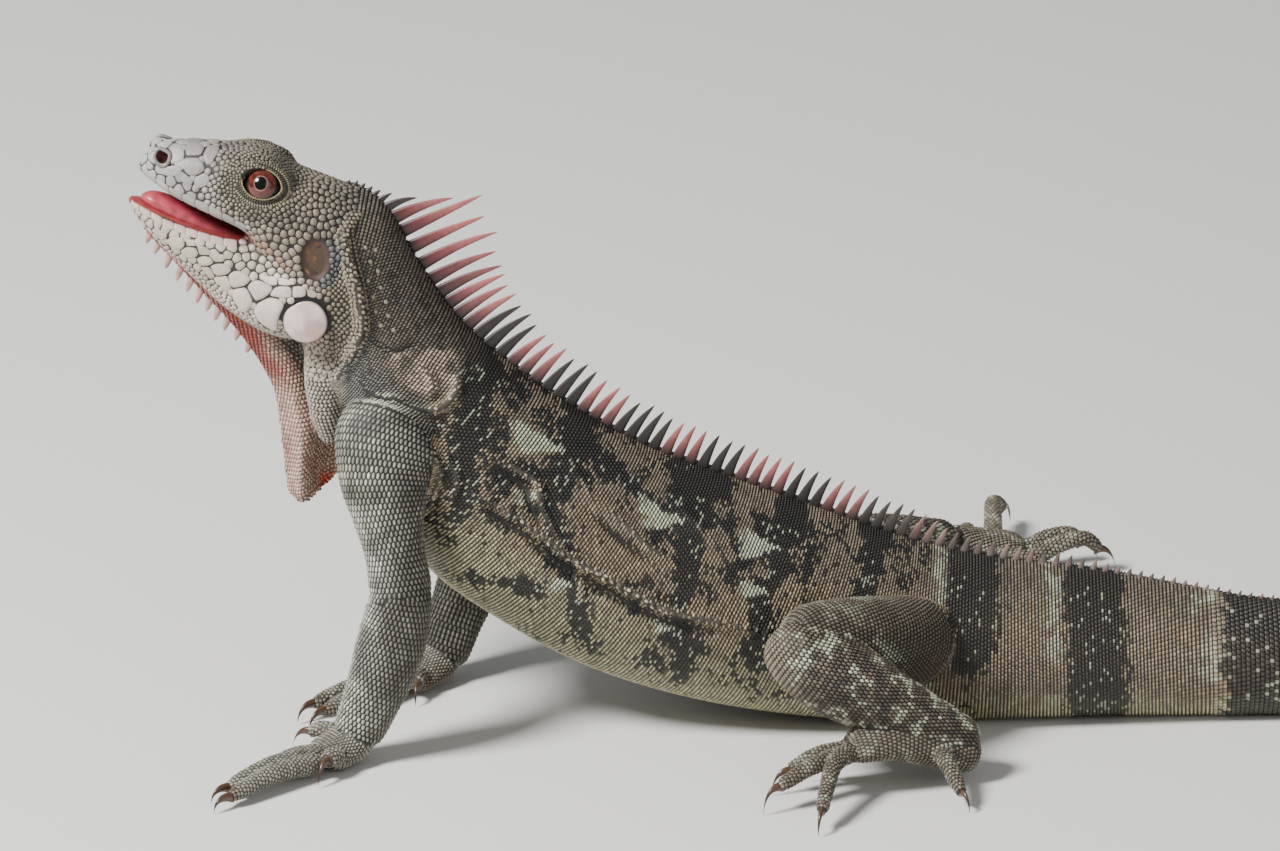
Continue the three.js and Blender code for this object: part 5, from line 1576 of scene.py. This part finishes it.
def beads(path, radius, long):
    # beads along a closed path: rings of 8 points, place - ahead*cos*long + radius*sin*(out, over)
    ahead = unit(roll(path, -1, axis=0) - roll(path, 1, axis=0))
    out = unit(path - path.mean(axis=0))
    over = cross(ahead, out)
    a, b = linspace(0, pi, 6)[1:-1, None, None], circle(8)[None, :, None]
    return [place - f * cos(a) * long + sin(a) * radius * (o * cos(b) + v * sin(b))
            for place, f, o, v in zip(path, ahead, out, over)]


for name, side in sideNames:
    grid, colour = eyeball(eyeAxes[name])
    piece = tubeMesh("eyeball_" + name, [grid], flip=side < 0)
    coloured(piece, np.vstack([colour, colour[:1] * 0, colour[-1:]]), eyeLook)
    count = eyePaint["lidBeads"]
    rim = beads(lidPoint(eyeAxes[name], np.ones(count), circle(count)), 0.42, 0.5)
    shade = repeat(0.8 + 0.35 * chance.random(count), rim[0].size // 3 + 2)
    coloured(tubeMesh("lid_rim_" + name, rim, flip=side > 0), paint(*eyePaint["lid"]) * shade[:, None],
             skinScales)


def domed(axes, size, height):
    # a closed lens on a spot: rings of an ellipse from middle to rim with height(r), then its flat back
    centre, ahead, over, facing = axes
    rim, b = linspace(0.02, 1, 16), circle(40)
    r = concatenate([rim, linspace(0.96, 0.02, 4)])[:, None]
    lift = concatenate([height(rim), np.full(4, -1.0)])
    return (centre + ahead * (r * cos(b) * size[0])[..., None] + over * (r * sin(b) * size[1])[..., None]
            + facing * lift[:, None, None])


facePaint = {"drum": (122, 88, 54), "drumDark": (56, 40, 28), "dome": (226, 206, 200),
             "domeShade": (176, 150, 146), "domeRimShade": (24, 20, 20), "domeStain": (186, 128, 92),
             "tongue": (170, 66, 78)}
for name, side in sideNames:
    centre, ahead, over, facing = spotAxes(nostril, side)
    wide, tall = array(nostril["size"]) * 1.04
    b = circle(40)[:, None]
    flat = centre + ahead * (cos(b) * wide) + over * (sin(b) * tall)
    path = onSkin(flat + facing * 1.5)[0]
    for step in range(4):
        path = 0.25 * roll(path, 1, axis=0) + 0.5 * path + 0.25 * roll(path, -1, axis=0)
    flat = flat + facing * (np.median(path @ facing) - flat @ facing)[:, None]
    ring = ringMesh("nostril_rim_" + name, ringTube(0.45 * flat + 0.55 * path, 0.8))
    coloured(ring, tones["snout"] * (0.55 + 0.3 * cloud(pointsOf(ring.data), 1.8, 31))[:, None], plateLook)

    centre, *axes = spotAxes(ear, side)
    grid = domed((centre - axes[2] * 1.1, *axes), (5.8, 8.5),
                 lambda r: 0.55 * (1 - r**2) - 0.9 * exp(-((r - 0.35) / 0.3) ** 2) * 0.3)
    drum = tubeMesh("eardrum_skin_" + name, [grid], flip=side < 0)
    points = pointsOf(drum.data)
    tone = plain(facePaint["drum"], len(points))
    lay(tone, facePaint["drumDark"], ease(cloud(points, 3.2, 32), 0.35, 0.7))
    coloured(drum, tone, drumLook)

    axes = spotAxes(plate, side)
    grid = domed(axes, (plate["radius"], plate["radius"]),
                 lambda r: 2.3 * np.sqrt(maximum(0, 1 - r**2.6)) - 0.2)
    dome = tubeMesh("cheek_dome_" + name, [grid], flip=side < 0)
    points = pointsOf(dome.data)
    tone = plain(facePaint["dome"], len(points))
    lay(tone, facePaint["domeShade"], cloud(points, 4, 33))
    far = norm(points - axes[0], axis=1)
    # painted shade at the dome's steep rim
    lay(tone, facePaint["domeRimShade"], ease(far, plate["radius"] - 0.7, plate["radius"] - 0.1))
    fromStain = hypot(points[:, 0] - axes[0][0] - 4.5, points[:, 2] - axes[0][2] + 5)
    lay(tone, facePaint["domeStain"], fade(fromStain, 1, 6) * 0.4)
    coloured(dome, tone, plateLook)

tongue = tubeMesh("tongue_flesh", [loftGrid(tongueRings, 30, 28, 0.7)])
points = pointsOf(tongue.data)
# painted shade: the tongue is darkened towards the back of the mouth
mouthDepthShade = interp(points[:, 0], [-190, -180, -168], [1, 0.85, 0.5])
coloured(tongue, paint(*facePaint["tongue"]) * ((0.8 + 0.4 * cloud(points, 2.5, 34)) * mouthDepthShade)[:, None],
         wetFlesh)


crestRows = array([  # running length along the back from the nape, then spacing, height and lean of a spine
    (-17, 2.8, 1.4, 0.3), (-8, 3.0, 2.2, 0.3), (-3, 3.6, 3.4, 0.3),
    (0, 4.7, 7, 0.2), (4.7, 5.6, 17, 0.36), (10.3, 7.1, 32.5, 0), (17.4, 8.2, 34.5, 0.02), (26, 8.2, 34, 0.1),
    (42, 5.8, 28, 0.16), (52, 6, 24, 0.12), (70, 6, 20.5, 0.22), (100, 5.8, 17.5, 0.12),
    (150, 5.3, 15.3, 0.14), (232, 5.3, 14.3, 0.16), (265, 5.3, 12, 0.18), (271, 5.3, 9.5, 0.2),
    (277, 5.3, 7.2, 0.2), (300, 5.3, 6.6, 0.2), (320, 5.3, 5, 0.2), (352, 4.6, 2.8, 0.2),
    (420, 4.4, 2.0, 0.3), (900, 4.2, 1.0, 0.3)])
crest = {"from": 0.55, "nape": 2, "before": 17, "group": 36, "darkAt": 108, "end": 760, "around": 12,
         "rings": 14, "width": 2.2, "sink": 2.0, "bend": 2.2, "pale": (160, 92, 88), "pink": (112, 50, 52),
         "dark": (38, 32, 30), "grey": (112, 101, 92)}


def backLine():
    t = linspace(crest["from"], 22.8, 2200)
    line = onLoft(bodyRings, t, 0 * t, 0.5)
    run = running(line)
    return line, run - interp(crest["nape"], t, run)


def spines():
    # each spine: place + out*rise + along*(lean*height*up^bend + root*size*cos) + side*width*size*sin
    line, run = backLine()
    ahead = unit(np.gradient(line, axis=0))
    places = [-crest["before"] + 0.5]
    while places[-1] < crest["end"]:
        places.append(places[-1] + interp(places[-1], crestRows[:, 0], crestRows[:, 1]))
    places = array(places)
    height = interp(places, crestRows[:, 0], crestRows[:, 2])
    height = height * (1 + 0.12 * (chance.random(len(places)) - 0.5))
    lean = interp(places, crestRows[:, 0], crestRows[:, 3]) + 0.05 * (chance.random(len(places)) - 0.5)
    at, along = (stack([interp(places, run, v[:, k]) for k in range(3)], axis=1) for v in (line, ahead))
    along = unit(along)
    side = unit(cross([0, 0, 1.0], along))
    out = cross(along, side)
    root = np.minimum(3.1, 1.5 + 0.075 * height) * interp(places, [340, 420], [1, 0.75])
    wide = crest["width"] / 2 * interp(places, [300, 420], [1, 0.6])
    up = linspace(0, 1, crest["rings"]) ** 0.9
    a = circle(crest["around"])
    size = maximum((1 - up) ** 0.62 * (1 - 0.12 * up), 0.02)[None, :, None]
    rise = -crest["sink"] + (height[:, None] + crest["sink"]) * up
    tilt = (lean * height)[:, None] * up ** crest["bend"]
    wobble = 0.35 * (chance.random(len(places)) - 0.5)[:, None] * height[:, None] * 0.12 * up**2
    at, along, side, out = (v[:, None, None] for v in (at, along, side, out))
    grid = (at + out * rise[..., None, None]
            + along * (tilt[..., None] + root[:, None, None] * size * cos(a))[..., None]
            + side * (wobble[..., None] + wide[:, None, None] * size * sin(a))[..., None])
    return grid, places, up


grid, places, up = spines()
piece = tubeMesh("crest_spines", list(grid))
# dark and pink spines in turns
group = (cos((places - crest["darkAt"]) * turn / crest["group"]) > -0.1).astype(float)
front = ease(places, 30, 60)
pale, pink, dark, grey = (paint(*crest[key]) for key in ("pale", "pink", "dark", "grey"))
isDark = maximum(group * front, 1 - ease(places, 2, 8))[:, None]
base = (dark * 1.6 + pink * 0.25) * front[:, None] + (pink * 0.55) * (1 - front[:, None])
base = base + (dark - base) * isDark
base = base + (grey - base) * ease(places, 230, 330)[:, None]
tip = pale * (0.85 + 0.3 * chance.random(len(places)))[:, None]
tip = tip + (dark * 1.5 - tip) * isDark
tip = tip + (grey * (1.25 - 0.6 * group[:, None]) - tip) * (ease(places, 200, 290) * 0.8)[:, None]
blend = ease(up, 0.12, 0.85)[None, :, None]
foot = fade(up, 0.05, 0.24)[None, :, None]
colour = base[:, None] * (1 - blend) + tip[:, None] * blend
colour = colour * (1 - foot) + (dark * 0.8)[None, None] * foot
colour = repeat(colour, crest["around"], axis=1)
colour = concatenate([colour, colour[:, :1], colour[:, -1:]], axis=1).reshape(-1, 3)
coloured(piece, colour * (0.82 + 0.36 * cloud(pointsOf(piece.data), 3, 41))[:, None], spineLook)

claw = {"reach": 2.9, "hump": 0.55, "rings": 16, "around": 12, "root": (92, 66, 46), "tip": (34, 25, 20)}


def clawGrid(rows):
    # bent cone: ahead*(reach+thick)*sin, dropping by 1-cos, thinning along its length
    thick, tip = rows[-1][3], array(rows[-1][:3], float)
    ahead = tip - array(rows[-2][:3], float)
    ahead[2] = 0
    ahead = unit(ahead)
    across = array([-ahead[1], ahead[0], 0])
    reach = claw["reach"] * thick
    root = tip - ahead * thick
    v = linspace(0, 1, claw["rings"])
    bend, fall = sin(v * pi / 2), 1 - cos(v * pi / 2)
    fat = thick * 0.72 * (1.02 - v)
    a = circle(claw["around"])
    grid = (root + ahead * ((reach + thick) * bend * 0.8)[:, None, None]
            + across * (fat[:, None] * 0.7 * sin(a))[..., None])
    hump = claw["hump"] * thick * sin(pi * v)
    grid[..., 2] += (hump - fall * (root[2] - 0.3))[:, None] + fat[:, None] * cos(a)
    grid[..., 2] = maximum(grid[..., 2], floorGap)
    return grid


grids = [clawGrid(rows) for limb in limbs.values() for rows in limb["digits"]]
piece = tubeMesh("claws", grids, flip=False)
v = linspace(0, 1, claw["rings"])[:, None]
colour = paint(*claw["root"]) * (1 - v**1.5) + paint(*claw["tip"]) * v**1.5
edge = 0.5 + 0.5 * abs(sin(circle(claw["around"])))[None, :, None]
colour = (colour[:, None] * (1.15 - 0.35 * edge)).reshape(-1, 3)
colour = np.vstack([colour, colour[:1], colour[-1:]])
coloured(piece, np.tile(colour, (len(grids), 1)), hornLook)


comb = {"teeth": 11, "from": 0.9, "span": 3.9, "long": 3.4, "longer": 1.8, "fat": 1.55, "root": 1.2,
        "colour": (186, 148, 138)}


def combTeeth():
    # soft teeth down the dewlap's front edge: edge - out*root + down*(long + root)*up, round to flat by 0.7
    i = arange(comb["teeth"])
    t = comb["from"] + comb["span"] * i / i[-1]
    edge, root = (smoothRows(array(dewlapShape[key], float), t) for key in ("edge", "root"))
    out = unit(edge - root)
    down = unit(out * 0.3 + [-0.05, -1.0])
    long = comb["long"] + comb["longer"] * sin(pi * (i + 1) / (len(i) + 1))
    long = long * (0.85 + 0.3 * chance.random(len(i)))
    up = linspace(0, 1, 9)
    fat = (comb["fat"] * np.sqrt(maximum(1 - up**1.6, 0.01)))[None, :, None]
    a = circle(10)
    middle = (edge[:, None] - out[:, None] * comb["root"]
              + down[:, None] * ((long + comb["root"])[:, None] * up)[..., None])[:, :, None]
    x = middle[..., 0] - fat * cos(a) * down[:, 1, None, None]
    z = middle[..., 1] + fat * cos(a) * down[:, 0, None, None]
    return stack([x, 0 * x + fat * 0.7 * sin(a), z], axis=-1)


piece = tubeMesh("dewlap_comb", list(combTeeth()))
coloured(piece, paint(*comb["colour"]) * (0.75 + 0.4 * cloud(pointsOf(piece.data), 2, 51))[:, None],
         skinScales)


# each piece hangs from the root body, and hides the parts of model.glb that it stands for
print("roles")
digitNodes = [f"{kind}_{side}_{i}" for kind in ("finger", "toe") for side in ("left", "right")
              for i in range(1, 6)]
fleshNodes = (["head", "lower_jaw", "neck", "trunk", "tail_root", "tail_middle", "tail_rear", "tail_whip",
               "dewlap"]
              + [f"{kind}_{side}" for kind in ("upper_arm", "forearm", "hand", "thigh", "shank", "foot")
                 for side in ("left", "right")] + digitNodes)
stands = {"skin": fleshNodes, "tongue_flesh": ["tongue"]}
slots = {"body_scales": ["skin", "crest_spines", "trunk_scales_left", "trunk_scales_right",
                         "tail_scales_front", "tail_scales_rear", "crease_scales"]
         + [name + "_scales" for name in limbs],
         "head_scales": ["head_scales", "lid_scales"], "toe_scales": ["digit_scales", "claws"],
         "dewlap_skin": ["dewlap_scales", "dewlap_comb"], "mouth_flesh": ["tongue_flesh"],
         "eye": [], "eardrum": [], "cheek_plate": []}
for name, side in sideNames:
    stands["eyeball_" + name] = ["eye_" + name]
    stands["eardrum_skin_" + name] = ["eardrum_" + name]
    stands["cheek_dome_" + name] = ["cheek_plate_" + name]
    slots["head_scales"] += ["lid_rim_" + name, "nostril_rim_" + name]
    slots["eye"].append("eyeball_" + name)
    slots["eardrum"].append("eardrum_skin_" + name)
    slots["cheek_plate"].append("cheek_dome_" + name)
for slotName, pieceNames in slots.items():
    for name in pieceNames:
        piece = bpy.data.objects[name]
        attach(piece, "root")
        if name in stands:
            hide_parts(*stands[name])


print("stage")
stage = {"floor": (232, 230, 226), "floorHalf": 8000, "world": (236, 240, 245), "worldStrength": 0.3,
         "key": 132, "keySize": 0.75, "keyAt": (-1500, -900, 2000), "fill": 11, "fillSize": 2.2,
         "fillAt": (1400, -1700, 1000)}
corners = array([(-1, -1, 0), (1, -1, 0), (1, 1, 0), (-1, 1, 0)], float) * stage["floorHalf"]
floor = makeMesh("floor", corners, [array([[0, 1, 2, 3]])], False)
floorLook = bpy.data.materials.new("pale floor")
floorLook.use_nodes = True
setSockets(floorLook.node_tree.nodes["Principled BSDF"],
           {"Base Color": (*paint(*stage["floor"]), 1), "Roughness": 0.7})
floor.data.materials.append(floorLook)

world = bpy.data.worlds.new("studio")
world.use_nodes = True
setSockets(world.node_tree.nodes["Background"],
           {"Color": (*paint(*stage["world"]), 1), "Strength": stage["worldStrength"]})
bpy.context.scene.world = world


def aimed(name, data, at, aim):  # a lamp or camera at a place, looking at another
    thing = placed(name, data)
    thing.location = inFrame(at)
    thing.rotation_mode = "QUATERNION"
    thing.rotation_quaternion = Vector(inFrame(aim) - inFrame(at)).to_track_quat("-Z", "Y")
    return thing


for name, aim in (("key", (-60, 0, 100)), ("fill", (0, 0, 80))):
    light = bpy.data.lights.new(name, "AREA")
    light.energy, light.shape, light.size = stage[name], "DISK", stage[name + "Size"]
    aimed(name, light, stage[name + "At"], aim)

view = {"height": 21, "away": 6000, "aim": (0, 0, 122.75), "across": 512, "sensor": 36}
rise = np.radians(view["height"])
lens = bpy.data.cameras.new("camera")
lens.sensor_width = view["sensor"]
lens.lens = view["sensor"] * view["away"] / view["across"]
lens.clip_start, lens.clip_end = 0.1, 100
eyePoint = array(view["aim"]) + view["away"] * array([0, -cos(rise), sin(rise)])
bpy.context.scene.camera = aimed("camera", lens, eyePoint, view["aim"])
